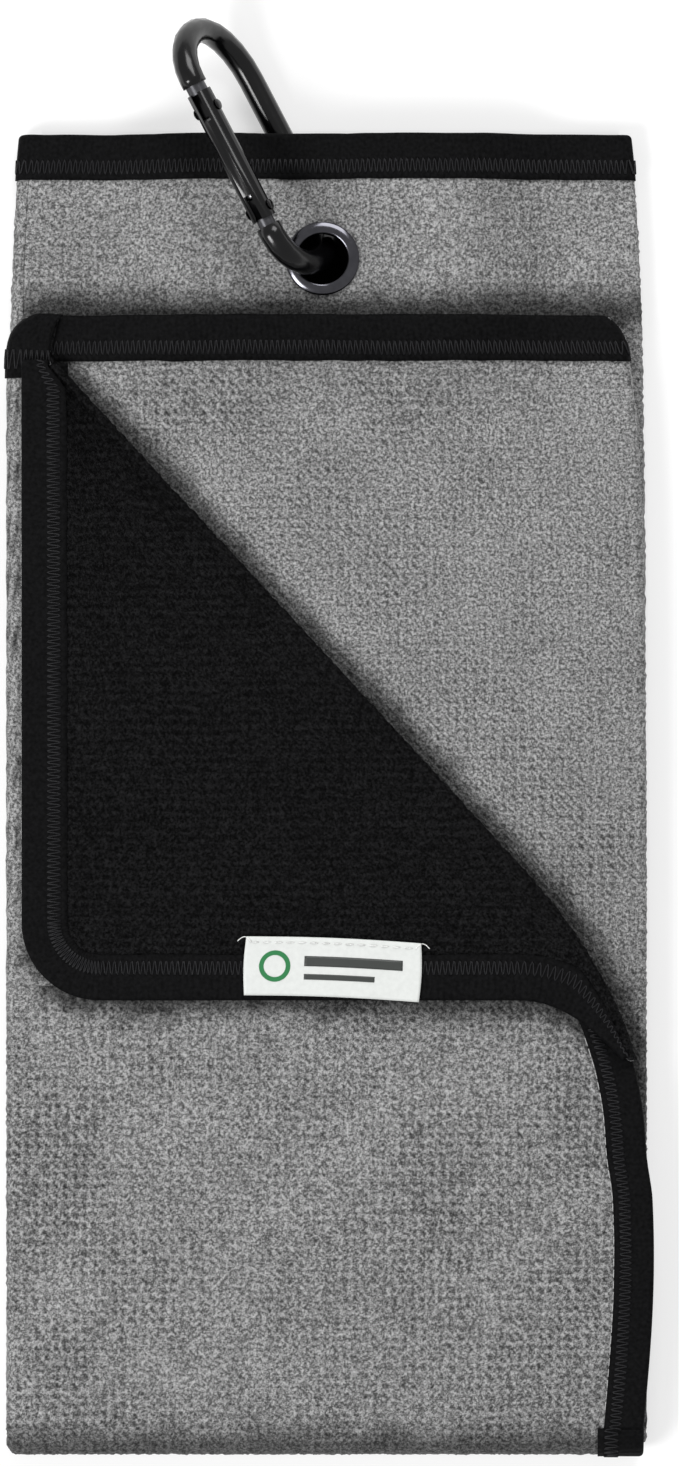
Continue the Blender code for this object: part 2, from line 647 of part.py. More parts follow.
def clip_centre_line():
    """The bent bar's axis in the ring's plane, from the hinge end round the near bend, along the
    spine and over the far bend to the nose. The bends are quarter ellipses."""
    half = CLIP_SPAN / 2
    points = [(-half, BODY_END_NEAR)]

    def quarter(centre_y, width, depth, start, end, steps):
        for step in range(steps + 1):
            angle = math.radians(start + (end - start) * step / steps)
            points.append((width * math.cos(angle), centre_y + depth * math.sin(angle)))

    quarter(CLIP_NEAR + CLIP_NEAR_DEPTH, half, CLIP_NEAR_DEPTH, 180, 360, 12)
    quarter(CLIP_TOP - CLIP_TOP_DEPTH_SPINE, half, CLIP_TOP_DEPTH_SPINE, 0, 90, 6)
    points.pop()
    quarter(CLIP_TOP - CLIP_TOP_DEPTH_GATE, half, CLIP_TOP_DEPTH_GATE, 90, 180, 6)
    points.append((-half, BODY_END_FAR))
    return points


def curve_mesh(curve, points, cyclic):
    """The solid of a curve through the points, with its caps welded on."""
    spline = curve.splines.new("POLY")
    spline.points.add(len(points) - 1)
    for target, point in zip(spline.points, points):
        target.co = (*point, 1.0)
    spline.use_cyclic_u = cyclic
    holder = bpy.data.objects.new(curve.name, curve)
    bpy.context.scene.collection.objects.link(holder)
    bpy.context.view_layer.update()
    evaluated = holder.evaluated_get(bpy.context.evaluated_depsgraph_get())
    mesh = bpy.data.meshes.new_from_object(evaluated)
    bpy.data.objects.remove(holder, do_unlink=True)
    weld = bmesh.new()
    weld.from_mesh(mesh)
    bmesh.ops.remove_doubles(weld, verts=weld.verts, dist=1e-6)
    bmesh.ops.recalc_face_normals(weld, faces=weld.faces)
    weld.to_mesh(mesh)
    weld.free()
    return mesh


def wire_mesh(name, points, radius, resolution):
    """A round bar along 3D points."""
    curve = bpy.data.curves.new(name, "CURVE")
    curve.dimensions = "3D"
    curve.bevel_depth = radius
    curve.bevel_resolution = resolution
    curve.use_fill_caps = True
    return curve_mesh(curve, points, False)


def plate_mesh(name, outline, thickness):
    """A flat outline in the ring's plane, given its thickness."""
    curve = bpy.data.curves.new(name, "CURVE")
    curve.dimensions = "2D"
    curve.fill_mode = "BOTH"
    curve.extrude = thickness / 2
    return curve_mesh(curve, [(x, y, 0.0) for x, y in outline], True)


def rod(name, radius, start, end, sides, collection, material, parent, along="n"):
    """A cylinder along the ring's normal ("n") or along the clip ("v"), from start to end."""
    middle = [(a + b) / 2 for a, b in zip(start, end)]
    depth = math.dist(start, end)
    bpy.ops.mesh.primitive_cylinder_add(vertices=sides, radius=radius, depth=depth)
    piece = bpy.context.object
    piece.name = name
    if along == "v":
        piece.data.transform(Matrix.Rotation(-math.pi / 2, 4, "X"))
    piece.data.transform(Matrix.Translation(middle))
    return move_to(piece, collection, material, parent)


def tongue_outlines():
    """The hinge tongue is a lug with a flat end, whose corners push the plunger back as the gate
    opens. The nose tongue has a notch for the latch pin, open towards the ring's inside."""
    half, side = CLIP_SPAN / 2, TONGUE_HALF_WIDTH
    root = BODY_END_NEAR - BAR_OVERLAP
    tip = HINGE_AT + LUG_TIP
    lug = [(-half - side, root), (-half + side, root), (-half + side, tip - LUG_CHAMFER),
           (-half + side - LUG_CHAMFER, tip), (-half - side + LUG_CHAMFER, tip),
           (-half - side, tip - LUG_CHAMFER)]
    root = BODY_END_FAR + BAR_OVERLAP
    notch = PIN_RADIUS + NOTCH_CLEARANCE
    foot = LATCH_AT - notch - NOTCH_WALL
    nose = [(-half + side, root), (-half - side, root), (-half - side, foot + NOTCH_CHAMFER),
            (-half - side + NOTCH_CHAMFER, foot), (-half + side - NOTCH_CHAMFER, foot),
            (-half + side, foot + NOTCH_CHAMFER), (-half + side, LATCH_AT - notch)]
    for angle in np.radians([270, 225, 180, 135, 90]):
        nose.append((-half + notch * math.cos(angle), LATCH_AT + notch * math.sin(angle)))
    nose.append((-half + side, LATCH_AT + notch))
    return lug, nose


def build_clip_body(ring, collection, cutters, materials):
    """Bent bar with a flattened tongue at each end, one drilled for the hinge pin."""
    points = [(x, y, 0.0) for x, y in clip_centre_line()]
    black = materials["black_anodised"]
    body = add_object("clip_body", wire_mesh("clip_body", points, CLIP_WIRE, 4), collection, black, ring)
    lug, nose = tongue_outlines()
    for name, outline in (("hinge_tongue", lug), ("nose_tongue", nose)):
        tongue = add_object(name, plate_mesh(name, outline, TONGUE_THICKNESS), cutters, black, ring)
        cut(body, make_cutter(tongue), "UNION")
    start, end = ((-CLIP_SPAN / 2, HINGE_AT, side * PIN_HOLE_REACH) for side in (-1, 1))
    drill = rod("hinge_drill", PIN_RADIUS + PIN_CLEARANCE, start, end, HOLE_SIDES, cutters, black, ring)
    cut(body, make_cutter(drill))


def build_gate(pivot, collection, cutters, materials):
    """Round gate, slotted at both ends for the tongues and bored for its spring."""
    black = materials["black_anodised"]
    length = GATE_FAR - GATE_NEAR
    near = GATE_NEAR - HINGE_AT
    far = GATE_FAR - HINGE_AT
    gate = rod("clip_gate", CLIP_WIRE, (0, near, 0), (0, far, 0), 16, collection, black, pivot, "v")
    slot = TONGUE_THICKNESS + 2 * SLOT_CLEARANCE
    reach = 4 * CLIP_WIRE
    for name, start, end in (("near_slot", near - length, near + SLOT_DEPTH_NEAR),
                             ("far_slot", far - SLOT_DEPTH_FAR, far + length)):
        bpy.ops.mesh.primitive_cube_add(size=1.0)
        cutter = bpy.context.object
        cutter.name = name
        cutter.data.transform(Matrix.Diagonal((reach, end - start, slot, 1.0)))
        cutter.data.transform(Matrix.Translation((0.0, (start + end) / 2, 0.0)))
        move_to(cutter, cutters, black, pivot)
        cut(gate, make_cutter(cutter))
    bore_end = near + SLOT_DEPTH_NEAR + GATE_BORE_DEPTH
    bore_start = near + SLOT_DEPTH_NEAR - GATE_BORE_MOUTH
    bore = rod("spring_bore", GATE_BORE, (0, bore_start, 0), (0, bore_end, 0), PIN_SIDES,
               cutters, black, pivot, "v")
    cut(gate, make_cutter(bore))
    for name, along in (("hinge_hole", 0.0), ("latch_hole", LATCH_AT - HINGE_AT)):
        start, end = ((0.0, along, side * PIN_HOLE_REACH) for side in (-1, 1))
        hole = rod(name, PIN_RADIUS + PIN_CLEARANCE, start, end, HOLE_SIDES, cutters, black, pivot)
        cut(gate, make_cutter(hole))


def build_pins(ring, pivot, collection, materials):
    """Headed pins: the hinge pin stays in the body, the latch pin in the gate."""
    steel = materials["black_anodised"]
    reach = CLIP_WIRE + PIN_CLEARANCE
    head = reach + PIN_HEAD_HEIGHT
    rim = reach + PIN_HEAD_HEIGHT * 0.4
    upper = [(0.0, head), (PIN_HEAD_RADIUS * 0.7, head), (PIN_HEAD_RADIUS, rim), (PIN_HEAD_RADIUS, reach),
             (PIN_RADIUS, reach)]
    profile = upper + [(radius, -height) for radius, height in reversed(upper)]
    hinge = turned("hinge_pin", profile, PIN_SIDES, collection, steel, ring)
    hinge.location = (-CLIP_SPAN / 2, HINGE_AT, 0.0)
    latch = turned("latch_pin", profile, PIN_SIDES, collection, steel, pivot)
    latch.location = (0.0, LATCH_AT - HINGE_AT, 0.0)


def build_spring(pivot, collection, materials):
    """Coil spring in the gate's bore, and the plunger that it pushes on the hinge tongue."""
    steel = materials["bare_steel"]
    tip = LUG_TIP + PLUNGER_GAP
    head_end = tip + PLUNGER_HEAD_LENGTH
    stem_end = head_end + PLUNGER_STEM_LENGTH
    profile = [(0.0, stem_end), (PLUNGER_STEM, stem_end), (PLUNGER_STEM, head_end), (PLUNGER_HEAD, head_end),
               (PLUNGER_HEAD, tip + PLUNGER_CHAMFER), (PLUNGER_HEAD - PLUNGER_CHAMFER, tip), (0.0, tip)]
    plunger = turned("spring_plunger", profile, PIN_SIDES, collection, steel, pivot)
    plunger.rotation_euler = (-math.pi / 2, 0.0, 0.0)

    start = head_end + SPRING_WIRE + SPRING_GAP
    end = GATE_NEAR - HINGE_AT + SLOT_DEPTH_NEAR + GATE_BORE_DEPTH - SPRING_WIRE - SPRING_SEAT_GAP
    count = SPRING_TURNS * 10
    points = []
    for step in range(count + 1):
        angle = 2 * math.pi * SPRING_TURNS * step / count
        along = start + (end - start) * step / count
        points.append((SPRING_RADIUS * math.cos(angle), along, SPRING_RADIUS * math.sin(angle)))
    add_object("gate_spring", wire_mesh("gate_spring", points, SPRING_WIRE, 1), collection, steel, pivot)


def shade_round(collection):
    """Smooth the round pieces and keep their real edges sharp."""
    for piece in collection.objects:
        if piece.type == "MESH":
            piece.data.shade_smooth()
            piece.data.set_sharp_from_angle(angle=math.radians(40))


def main():
    clear_scene()
    model = make_collection("golf_towel")
    cutters = make_collection("cutters")
    materials = {name: make_material(name) for name in COLOURS}
    punch = build_cloth(model, materials)
    move_to(punch, cutters, materials["grey_waffle"])
    build_edge_tapes(model, materials)
    build_corner_tape(model, materials)
    build_label(model, materials)
    build_eyelet(model, materials)
    ring, gate_pivot = clip_empties(model)
    build_clip_body(ring, model, cutters, materials)
    build_gate(gate_pivot, model, cutters, materials)
    build_pins(ring, gate_pivot, model, materials)
    build_spring(gate_pivot, model, materials)
    shade_round(model)
    bpy.context.view_layer.update()


main()
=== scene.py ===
"""Looks of a golf towel folded in three and then in half, with an eyelet and a snap clip.

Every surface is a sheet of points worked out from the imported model's frame. The towel lies on a
pale floor and is seen from straight above. All lengths are metres.
"""

import math

import bmesh
import bpy
import numpy as np
from bpy.props import FloatProperty, FloatVectorProperty, IntProperty, PointerProperty
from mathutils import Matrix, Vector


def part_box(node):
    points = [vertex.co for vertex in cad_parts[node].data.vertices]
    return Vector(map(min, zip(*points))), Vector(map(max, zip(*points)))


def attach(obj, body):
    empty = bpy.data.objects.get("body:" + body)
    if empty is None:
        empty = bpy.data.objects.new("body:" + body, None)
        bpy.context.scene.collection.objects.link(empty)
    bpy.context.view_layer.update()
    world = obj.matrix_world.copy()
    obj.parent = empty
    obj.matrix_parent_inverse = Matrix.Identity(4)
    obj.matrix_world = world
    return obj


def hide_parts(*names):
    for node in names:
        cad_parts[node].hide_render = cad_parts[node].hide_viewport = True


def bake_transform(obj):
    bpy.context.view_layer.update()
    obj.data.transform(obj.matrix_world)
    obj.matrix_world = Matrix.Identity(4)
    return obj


bl_info = {
    "name": "Folded golf towel",
    "version": (1, 0, 0),
    "blender": (4, 5, 0),
    "location": "3D View > Sidebar > Towel",
    "description": "Cloth, bindings, stitching, label, eyelet and clip of a folded golf towel",
    "category": "Add Mesh",
}

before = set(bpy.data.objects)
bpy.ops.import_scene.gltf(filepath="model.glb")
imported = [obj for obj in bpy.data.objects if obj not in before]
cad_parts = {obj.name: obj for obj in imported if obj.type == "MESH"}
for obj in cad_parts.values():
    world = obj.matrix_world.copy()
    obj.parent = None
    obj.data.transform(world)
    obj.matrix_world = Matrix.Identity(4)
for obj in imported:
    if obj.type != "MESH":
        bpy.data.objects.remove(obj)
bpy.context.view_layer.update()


def node_box(name):
    """Lowest and highest corner of a node of the frame, as two arrays."""
    low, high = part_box(name)
    return np.array(low), np.array(high)


# ---------------------------------------------------------------- sizes read from the frame
LEFT_SIDE = node_box("rear_cloth")[0][0]
RIGHT_SIDE = node_box("rear_cloth")[1][0]
BOTTOM_SIDE = node_box("bottom_fold_cloth")[0][1]
REAR_END = node_box("rear_end_binding")[1][1]
FRONT_END = node_box("front_end_binding")[1][1]
EYELET_LOW, EYELET_HIGH = node_box("eyelet")
EYELET_X, EYELET_Y = ((EYELET_LOW + EYELET_HIGH) / 2)[:2]
LABEL_LOW, LABEL_HIGH = node_box("label")

# ---------------------------------------------------------------- sizes repeated from the part
CLOTH = 0.0011                 # thickness of the waffle cloth
TAPE_WALL = 0.0003             # the binding tape's own thickness
TAPE_WIDTH = 0.0090
TAPE_GAP = 0.00012             # between the tape and the cloth inside it
LAYER_GAP = 0.00026            # between the layers' tapes
OUTER_FLAP_SIDE = 0.0682       # where the outer flap's tape ends on the right
OUTER_FLAP_BULGE = 0.0023      # how far it bows out, and over what length
OUTER_FLAP_BULGE_RUN = 0.0750
REAR_TAPER_LEFT = 0.0030       # how the halves narrow towards their open ends
REAR_TAPER_RIGHT = 0.0036
REAR_TAPER_RUN = 0.0300
FRONT_TAPER_RIGHT = 0.0056
FRONT_TAPER_RUN = 0.0240
EYELET_BORE = 0.00535
EYELET_WALL = 0.0004
EYELET_FLANGE = 0.0080
EYELET_FLANGE_HEIGHT = 0.0009
EYELET_CLEARANCE = 0.0002
PINCHED_GAP = 0.0002           # between the layers where the eyelet pinches them
PINCH_FLAT = 0.0124            # radii where the pinch ends being flat and ends
PINCH_END = 0.0184
LIFT = 0.0083                  # how far the clip's spine lifts the cloth over it
LIFT_START = 0.0660
LIFT_TOP = 0.0953
LIFT_HALF_FLAT = 0.0285
LIFT_HALF_END = 0.0540
ROLL_TOP = (-0.0591, 0.0808)   # outline of the diagonal roll, x and y
ROLL_BEND = (0.0412, -0.0282)
ROLL_FOOT = (0.0694, -0.0907)
CORNER_LEFT = -0.0671          # outline of the turned corner, with its tape
CORNER_BOTTOM = -0.0572
CORNER_RADIUS = 0.0160
CORNER_TAIL = (0.0578, -0.0642) # where its bottom edge sinks to, x and y
CORNER_TAIL_START = 0.0410
OUTER_TAPE_END = -0.0600
CLIP_LEAN = math.radians(27.5)
CLIP_WIRE = 0.00275            # radius of the clip's bar
CLIP_SPAN = 0.0250             # between the middles of the clip's two sides
CLIP_TILT = math.radians(62.1)
CLIP_FLOOR_GAP = 0.0004
CLIP_SHIFT = -0.0015
LABEL_SIZE = (0.0387, 0.0128)
LABEL_CENTRE = (0.0005, -0.0504)
LABEL_TURN = math.radians(-2.3)

# ---------------------------------------------------------------- worked out from them
TAPE_REACH = CLOTH / 2 + TAPE_GAP + TAPE_WALL / 2
TAPE_HALF = TAPE_REACH + TAPE_WALL / 2
PITCH = 2 * TAPE_HALF + LAYER_GAP
LEVEL_CENTRE = PITCH / 2
LEVEL_INNER = LEVEL_CENTRE + PITCH
LEVEL_OUTER = LEVEL_CENTRE + 2 * PITCH
LEVEL_CORNER = LEVEL_CENTRE + 3 * PITCH
MIDDLE_Z = LEVEL_OUTER + TAPE_HALF
RIGHT_BEND = RIGHT_SIDE - CLOTH / 2 - PITCH / 2
LEFT_BEND = LEFT_SIDE + CLOTH / 2 + PITCH
FOLD_Y = BOTTOM_SIDE + CLOTH / 2 + LEVEL_OUTER
INNER_FLAP_EDGE = LEFT_BEND + 2 * TAPE_HALF
OUTER_FLAP_EDGE = OUTER_FLAP_SIDE - TAPE_HALF
REAR_EDGE = REAR_END - TAPE_HALF
FRONT_EDGE = FRONT_END - TAPE_HALF
CORNER_EDGE_X = CORNER_LEFT + TAPE_HALF
CORNER_EDGE_Y = CORNER_BOTTOM + TAPE_HALF
PINCHED_PITCH = CLOTH + PINCHED_GAP
EYELET_Z = MIDDLE_Z - LEVEL_INNER + LIFT
PINCHED_HALF = PINCHED_PITCH + CLOTH / 2
CLIP_Z = CLIP_FLOOR_GAP + CLIP_WIRE + CLIP_SPAN / 2 * math.sin(CLIP_TILT)

# The section of a half is a spiral: inner flap, right side fold, centre panel, left side fold,
# outer flap. These are the distances along it, from the inner flap's edge.
RUN_RIGHT = RIGHT_BEND - INNER_FLAP_EDGE
RUN_CENTRE = RUN_RIGHT + math.pi * PITCH / 2
RUN_LEFT = RUN_CENTRE + RIGHT_BEND - LEFT_BEND
RUN_OUTER = RUN_LEFT + math.pi * PITCH
RUN_END = RUN_OUTER + OUTER_FLAP_EDGE - LEFT_BEND
ROLL_TURN = math.pi * PITCH / 2

# ---------------------------------------------------------------- sizes chosen here
FRONT_ROUND_LEFT, FRONT_ROUND_RIGHT = 0.0062, 0.0042    # draw the open end's corners in
FRONT_ROUND_RUN, FRONT_ROUND_POWER = 0.0026, 9      # along y, and how close to the side it stays
HOLE_MARGIN = 0.0008           # gap between the eyelet's wall and the cloth's hole
EYELET_HOLE = EYELET_BORE + EYELET_WALL + HOLE_MARGIN
FLAP_BLEND_START, FLAP_BLEND_RUN = 0.004, 0.014     # where the roll's foot runs into the flap's edge
FOOT_STEPS, FOOT_SHARE = 60, 0.3                    # search for the corner's foot
SEEN_END = 0.0780              # above this height the rear half's top panel is seen
COVERED = 1.7                  # grid steps of covered cloth, in fine steps
UNDER = 1.6                    # grid steps of the outer flap underneath, in fine steps
CURL_STEPS = (0.0004, 0.0005, 0.0006, 0.0008)       # grid steps round the side folds, finest first
FOLD_OVERLAP = 0.0004          # how far the outer flaps reach past the fold's axis
# a sheet's sides are declared no shorter than this
FOLD_SHORTEST = 0.0101         # shortest side in a fold sheet's worked-out flat size
ROLL_OVERLAP = 0.0045          # how far the seen inner flap reaches under the roll
CORNER_COVERS = -0.0540        # above this height the turned corner covers the outer flap
SHADE_SIDE_SLOPE = 0.72         # across-to-square distance of the painted shade beside the diagonal roll
ROLL_SHADE, CORNER_SHADE, END_SHADE, FOLD_SHADE = 0.0068, 0.0068, 0.0070, 0.0077    # widths of the painted shade bands
END_SHADE_STRENGTH, FOLD_SHADE_STRENGTH = 0.97, 0.92            # how dark the painted shade is there, of 1
STITCH_NEAR, STITCH_FAR = 0.0046, 0.0076            # zigzag's distances from the tape's edge
OUTER_TAPE_NARROWING = 0.87    # the bowed tape turns a little on its edge
DASH, DASH_PITCH = 0.0017, 0.0024                   # straight stitches and their spacing
FINE_THREAD = 0.00010
LABEL_THREAD = 0.00011
EMBROIDERY = 0.00008           # height of the label's mark
RING_MIDDLE, RING_OUTER, RING_INNER, RING_SIDES = -0.0126, 0.0034, 0.0024, 96
BARS = ((0.0012, 0.0022, -0.0062, 0.0152),          # middle, thickness, left end, right end
        (-0.0022, 0.0012, -0.0062, 0.0092))
NECKS = (("clip_hinge_neck", 0.0108, 0.0133, 0.0019),  # start and end along the clip, radius
         ("clip_nose_neck", 0.0434, 0.0461, 0.0022))
FLOOR_HALF = 6.0
CAMERA_PLACE = (0.0020, 0.0009)
LAMPS = (("key_light", "key", 215.0, 48.0, 1.5, 0.55),     # direction, elevation, distance, width
         ("second_light", "fill", 75.0, 38.0, 1.6, 0.9))

# Pattern sizes: a loop of the pile, cloudy patches, tape ribs and fuzz, a thread's twist, satin
# threads and polishing marks. Ribs and satin are drawn coarser than the real ones so that they show.
LOOP, PATCH, RIB, FUZZ = 0.000606, 0.0143, 0.001366, 0.000769
TWIST, SATIN_THREAD, POLISH_MARK = 0.0004, 0.00111, 0.00238


# ---------------------------------------------------------------- user settings
class ClothSettings(bpy.types.PropertyGroup):
    """Weave and colours of the waffle cloth."""
    waffle_pitch: FloatProperty(name="Waffle pitch", description="Distance from pit to pit",
                                default=0.0021, unit="LENGTH")
    pit_depth: FloatProperty(name="Pit depth", description="Depth of a waffle pit",
                             default=0.00050, unit="LENGTH")
    terry: FloatProperty(name="Terry height", description="Height of the loops' random relief",
                         default=0.00010, unit="LENGTH")
    fine_step: FloatProperty(name="Fine grid", description="Grid step where the cloth shows",
                             default=0.00055, unit="LENGTH")
    coarse_step: FloatProperty(name="Coarse grid", description="Grid step between the layers",
                               default=0.0018, unit="LENGTH")
    grey: FloatVectorProperty(name="Face", description="Colour of the grey face, sRGB",
                              default=(0.535, 0.535, 0.535), subtype="COLOR_GAMMA")
    black: FloatVectorProperty(name="Reverse", description="Colour of the black reverse, sRGB",
                               default=(0.083, 0.083, 0.086), subtype="COLOR_GAMMA")


class TrimSettings(bpy.types.PropertyGroup):
    """Binding tape, stitches and label."""
    stitch_pitch: FloatProperty(name="Stitch pitch", description="Length of one zigzag",
                                default=0.00125, unit="LENGTH")
    thread_radius: FloatProperty(name="Thread radius", description="Radius of the sewing thread",
                                 default=0.00019, unit="LENGTH")
    tape: FloatVectorProperty(name="Tape", description="Colour of the binding tape, sRGB",
                              default=(0.050, 0.050, 0.053), subtype="COLOR_GAMMA")
    satin: FloatVectorProperty(name="Satin", description="Colour of the label, sRGB",
                               default=(0.85, 0.86, 0.85), subtype="COLOR_GAMMA")
    mark: FloatVectorProperty(name="Mark", description="Colour of the label's ring, sRGB",
                              default=(0.16, 0.47, 0.27), subtype="COLOR_GAMMA")


class MetalSettings(bpy.types.PropertyGroup):
    """Eyelet and snap clip."""
    turned_sides: IntProperty(name="Sides", description="Facets round the eyelet",
                              default=96, min=16)
    smooth_angle: FloatProperty(name="Smooth angle", default=math.radians(40), subtype="ANGLE",
                                description="Edges flatter than this are smooth")


class StudioSettings(bpy.types.PropertyGroup):
    """Camera and lights."""
    camera_height: FloatProperty(name="Camera height", description="Above the floor",
                                 default=2.5, unit="LENGTH")
    view_height: FloatProperty(name="View height", description="Length that the picture spans",
                               default=0.3203, unit="LENGTH")
    key: FloatProperty(name="Key light", description="Power of the key light", default=15.0,
                       unit="POWER")
    fill: FloatProperty(name="Fill light", description="Power of the second light", default=15.0,
                        unit="POWER")
    sky: FloatProperty(name="Sky", description="Brightness of the white surroundings", default=0.45)


# ---------------------------------------------------------------- small tools
def smoothstep(value):
    """0 below 0, 1 above 1, and a smooth S between."""
    value = np.clip(value, 0.0, 1.0)
    return value * value * (3.0 - 2.0 * value)


def noise(u, v, size, seed):
    """Value noise from -1 to 1: random heights on a lattice of the given size, blended smoothly."""
    table = np.random.default_rng(seed).uniform(-1.0, 1.0, (256, 256))
    column, row = np.floor(u / size), np.floor(v / size)
    across, up = smoothstep(u / size - column), smoothstep(v / size - row)
    column, row = column.astype(int) % 256, row.astype(int) % 256
    beside, above = (column + 1) % 256, (row + 1) % 256
    low = table[column, row] * (1 - across) + table[beside, row] * across
    high = table[column, above] * (1 - across) + table[beside, above] * across
    return low * (1 - up) + high * up


def steps(start, end, step, multiple=4):
    """Even stations from start to end about a step apart, their count a multiple plus one."""
    count = max(1, round(abs(end - start) / step / multiple)) * multiple
    return np.linspace(start, end, count + 1)


def joined(*runs):
    """Stretches of stations one after the other, each starting where the last one ends."""
    return np.concatenate([runs[0], *[run[1:] for run in runs[1:]]])


def unit(vectors):
    """Vectors at unit length."""
    return vectors / np.maximum(np.linalg.norm(vectors, axis=-1, keepdims=True), 1e-12)


def one_shape(*values):
    """Numbers and arrays as float arrays of one shape."""
    return np.broadcast_arrays(*(np.asarray(value, float) for value in values))


def wrapped(rows, columns):
    """Indices of a grid that joins up with itself both ways."""
    return np.pad(np.arange(rows * columns).reshape(rows, columns), ((0, 1), (0, 1)), mode="wrap")


def linear(colour):
    """sRGB to linear light, with an alpha of 1. A hex string or three numbers from 0 to 1."""
    if isinstance(colour, str):
        colour = [int(colour[i:i + 2], 16) / 255 for i in (1, 3, 5)]
    values = [c / 12.92 if c <= 0.04045 else ((c + 0.055) / 1.055) ** 2.4 for c in colour]
    return (*values, 1.0)


# ---------------------------------------------------------------- the folded stack
def lift(x, y):
    """Height that the clip's spine gives the cloth: an S along y, fading out on both sides."""
    along = smoothstep((y - LIFT_START) / (LIFT_TOP - LIFT_START))
    beside = np.abs(x - EYELET_X) - LIFT_HALF_FLAT
    across = 1.0 - smoothstep(beside / (LIFT_HALF_END - LIFT_HALF_FLAT))
    return LIFT * along * across


def pinch(x, y):
    """Share of the layers' spacing that is left near the eyelet."""
    radius = np.hypot(x - EYELET_X, y - EYELET_Y)
    least = PINCHED_PITCH / PITCH
    return least + (1.0 - least) * smoothstep((radius - PINCH_FLAT) / (PINCH_END - PINCH_FLAT))


def narrowed(half, x, y):
    """Draw the sides in towards the open end of a half, by an exponential along y, and round the
    front half's corners there by a high power of the distance across."""
    if half == "rear":
        fade = np.exp((y - REAR_END) / REAR_TAPER_RUN)
        left, right = REAR_TAPER_LEFT * fade, REAR_TAPER_RIGHT * fade
    else:
        left, right = 0.0, FRONT_TAPER_RIGHT * np.exp((y - FRONT_END) / FRONT_TAPER_RUN)
    share = (x - LEFT_SIDE) / (RIGHT_SIDE - LEFT_SIDE)
    moved = x + left * (1.0 - share) - right * share
    if half == "front":
        near = np.exp(np.minimum(y - FRONT_END, 0.0) / FRONT_ROUND_RUN)
        at_left, at_right = np.clip([1.0 - share, share], 0, 1) ** FRONT_ROUND_POWER
        moved = moved + near * (FRONT_ROUND_LEFT * at_left - FRONT_ROUND_RIGHT * at_right)
    return moved


def place(half, x, level, y):
    """Point of the folded stack: level is the distance from the plane between the two halves."""
    x, level, y = one_shape(x, level, y)
    moved = narrowed(half, x, y)
    if half == "rear":
        z = MIDDLE_Z - (LEVEL_INNER + (level - LEVEL_INNER) * pinch(moved, y)) + lift(moved, y)
    else:
        z = MIDDLE_Z + level + lift(moved, y)
    return np.stack([moved, y, z], axis=-1)


def fold_place(x, level, angle):
    """Point of the bottom fold: angle runs from 0 at the rear half to pi at the front half."""
    x, level, angle = one_shape(x, level, angle)
    y, z = FOLD_Y - level * np.sin(angle), MIDDLE_Z - level * np.cos(angle)
    return np.stack([x, y, z], axis=-1)


def across_fold(piece, level):
    """Bake a piece's placement into its mesh."""
    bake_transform(piece)


def spiral(run):
    """The section at a distance along it: x, level, and the outward normal in x and level.

    Straight runs at three levels, joined by a half circle of half the layers' spacing on the right
    and one of a whole spacing on the left.
    """
    run = np.asarray(run, float)
    right, left = (run - RUN_RIGHT) / (PITCH / 2), (run - RUN_LEFT) / PITCH
    where = [run <= RUN_RIGHT, run <= RUN_CENTRE, run <= RUN_LEFT, run <= RUN_OUTER]
    one, none = np.ones_like(run), np.zeros_like(run)
    side = np.select(where, [none, np.sin(right), none, -np.sin(left)], none)
    up = np.select(where, [one, np.cos(right), -one, -np.cos(left)], one)
    x = np.select(where, [INNER_FLAP_EDGE + run, RIGHT_BEND + PITCH / 2 * side,
                          RIGHT_BEND - (run - RUN_CENTRE), LEFT_BEND + PITCH * side],
                  LEFT_BEND + (run - RUN_OUTER))
    level = np.select(where, [LEVEL_INNER * one, PITCH + PITCH / 2 * up, LEVEL_CENTRE * one,
                              LEVEL_INNER + PITCH * up], LEVEL_OUTER * one)
    return x, level, side, up


def outer_flap_x(y):
    """Free edge of the outer flap's cloth in the front half: it bows out by half a sine."""
    share = np.clip((y - FOLD_Y) / OUTER_FLAP_BULGE_RUN, 0.0, 1.0)
    return OUTER_FLAP_EDGE + OUTER_FLAP_BULGE * np.sin(np.pi * share)


def roll_x(y):
    """Axis of the diagonal roll at a height y: straight, then a curve that turns down."""
    y = np.asarray(y, float)
    reach = PITCH / 2 + CLOTH / 2
    top, bend, foot = ((x - reach, along) for x, along in (ROLL_TOP, ROLL_BEND, ROLL_FOOT))
    slope = (bend[0] - top[0]) / (bend[1] - top[1])
    run = foot[1] - bend[1]
    t = np.clip((y - bend[1]) / run, 0.0, 1.0)
    curve = ((1 + 2 * t) * (1 - t) ** 2 * bend[0] + t * (1 - t) ** 2 * slope * run
             + t * t * (3 - 2 * t) * foot[0])
    straight = top[0] + slope * (np.minimum(y, top[1]) - top[1])
    return np.where(y >= bend[1], straight, curve)


def flap_end(y):
    """Free edge of the outer flap: the roll above its foot, the bowed edge below, blended."""
    below = smoothstep((ROLL_FOOT[1] + FLAP_BLEND_START - y) / FLAP_BLEND_RUN)
    return np.minimum(outer_flap_x(y), roll_x(y)) * (1.0 - below) + outer_flap_x(y) * below


def corner_x(y):
    """Left edge of the turned corner's cloth at a height y, round its rounded corner."""
    drop = np.clip(CORNER_EDGE_Y + CORNER_RADIUS - y, 0.0, CORNER_RADIUS)
    return CORNER_EDGE_X + CORNER_RADIUS - np.sqrt(CORNER_RADIUS ** 2 - drop ** 2)


def corner_sink(x):
    """How far the corner's bottom edge sinks towards the roll: a parabola from where it starts."""
    t = np.maximum(x - CORNER_TAIL_START, 0.0) / (CORNER_TAIL[0] - CORNER_TAIL_START)
    return (CORNER_TAIL[1] - CORNER_BOTTOM) * t * t


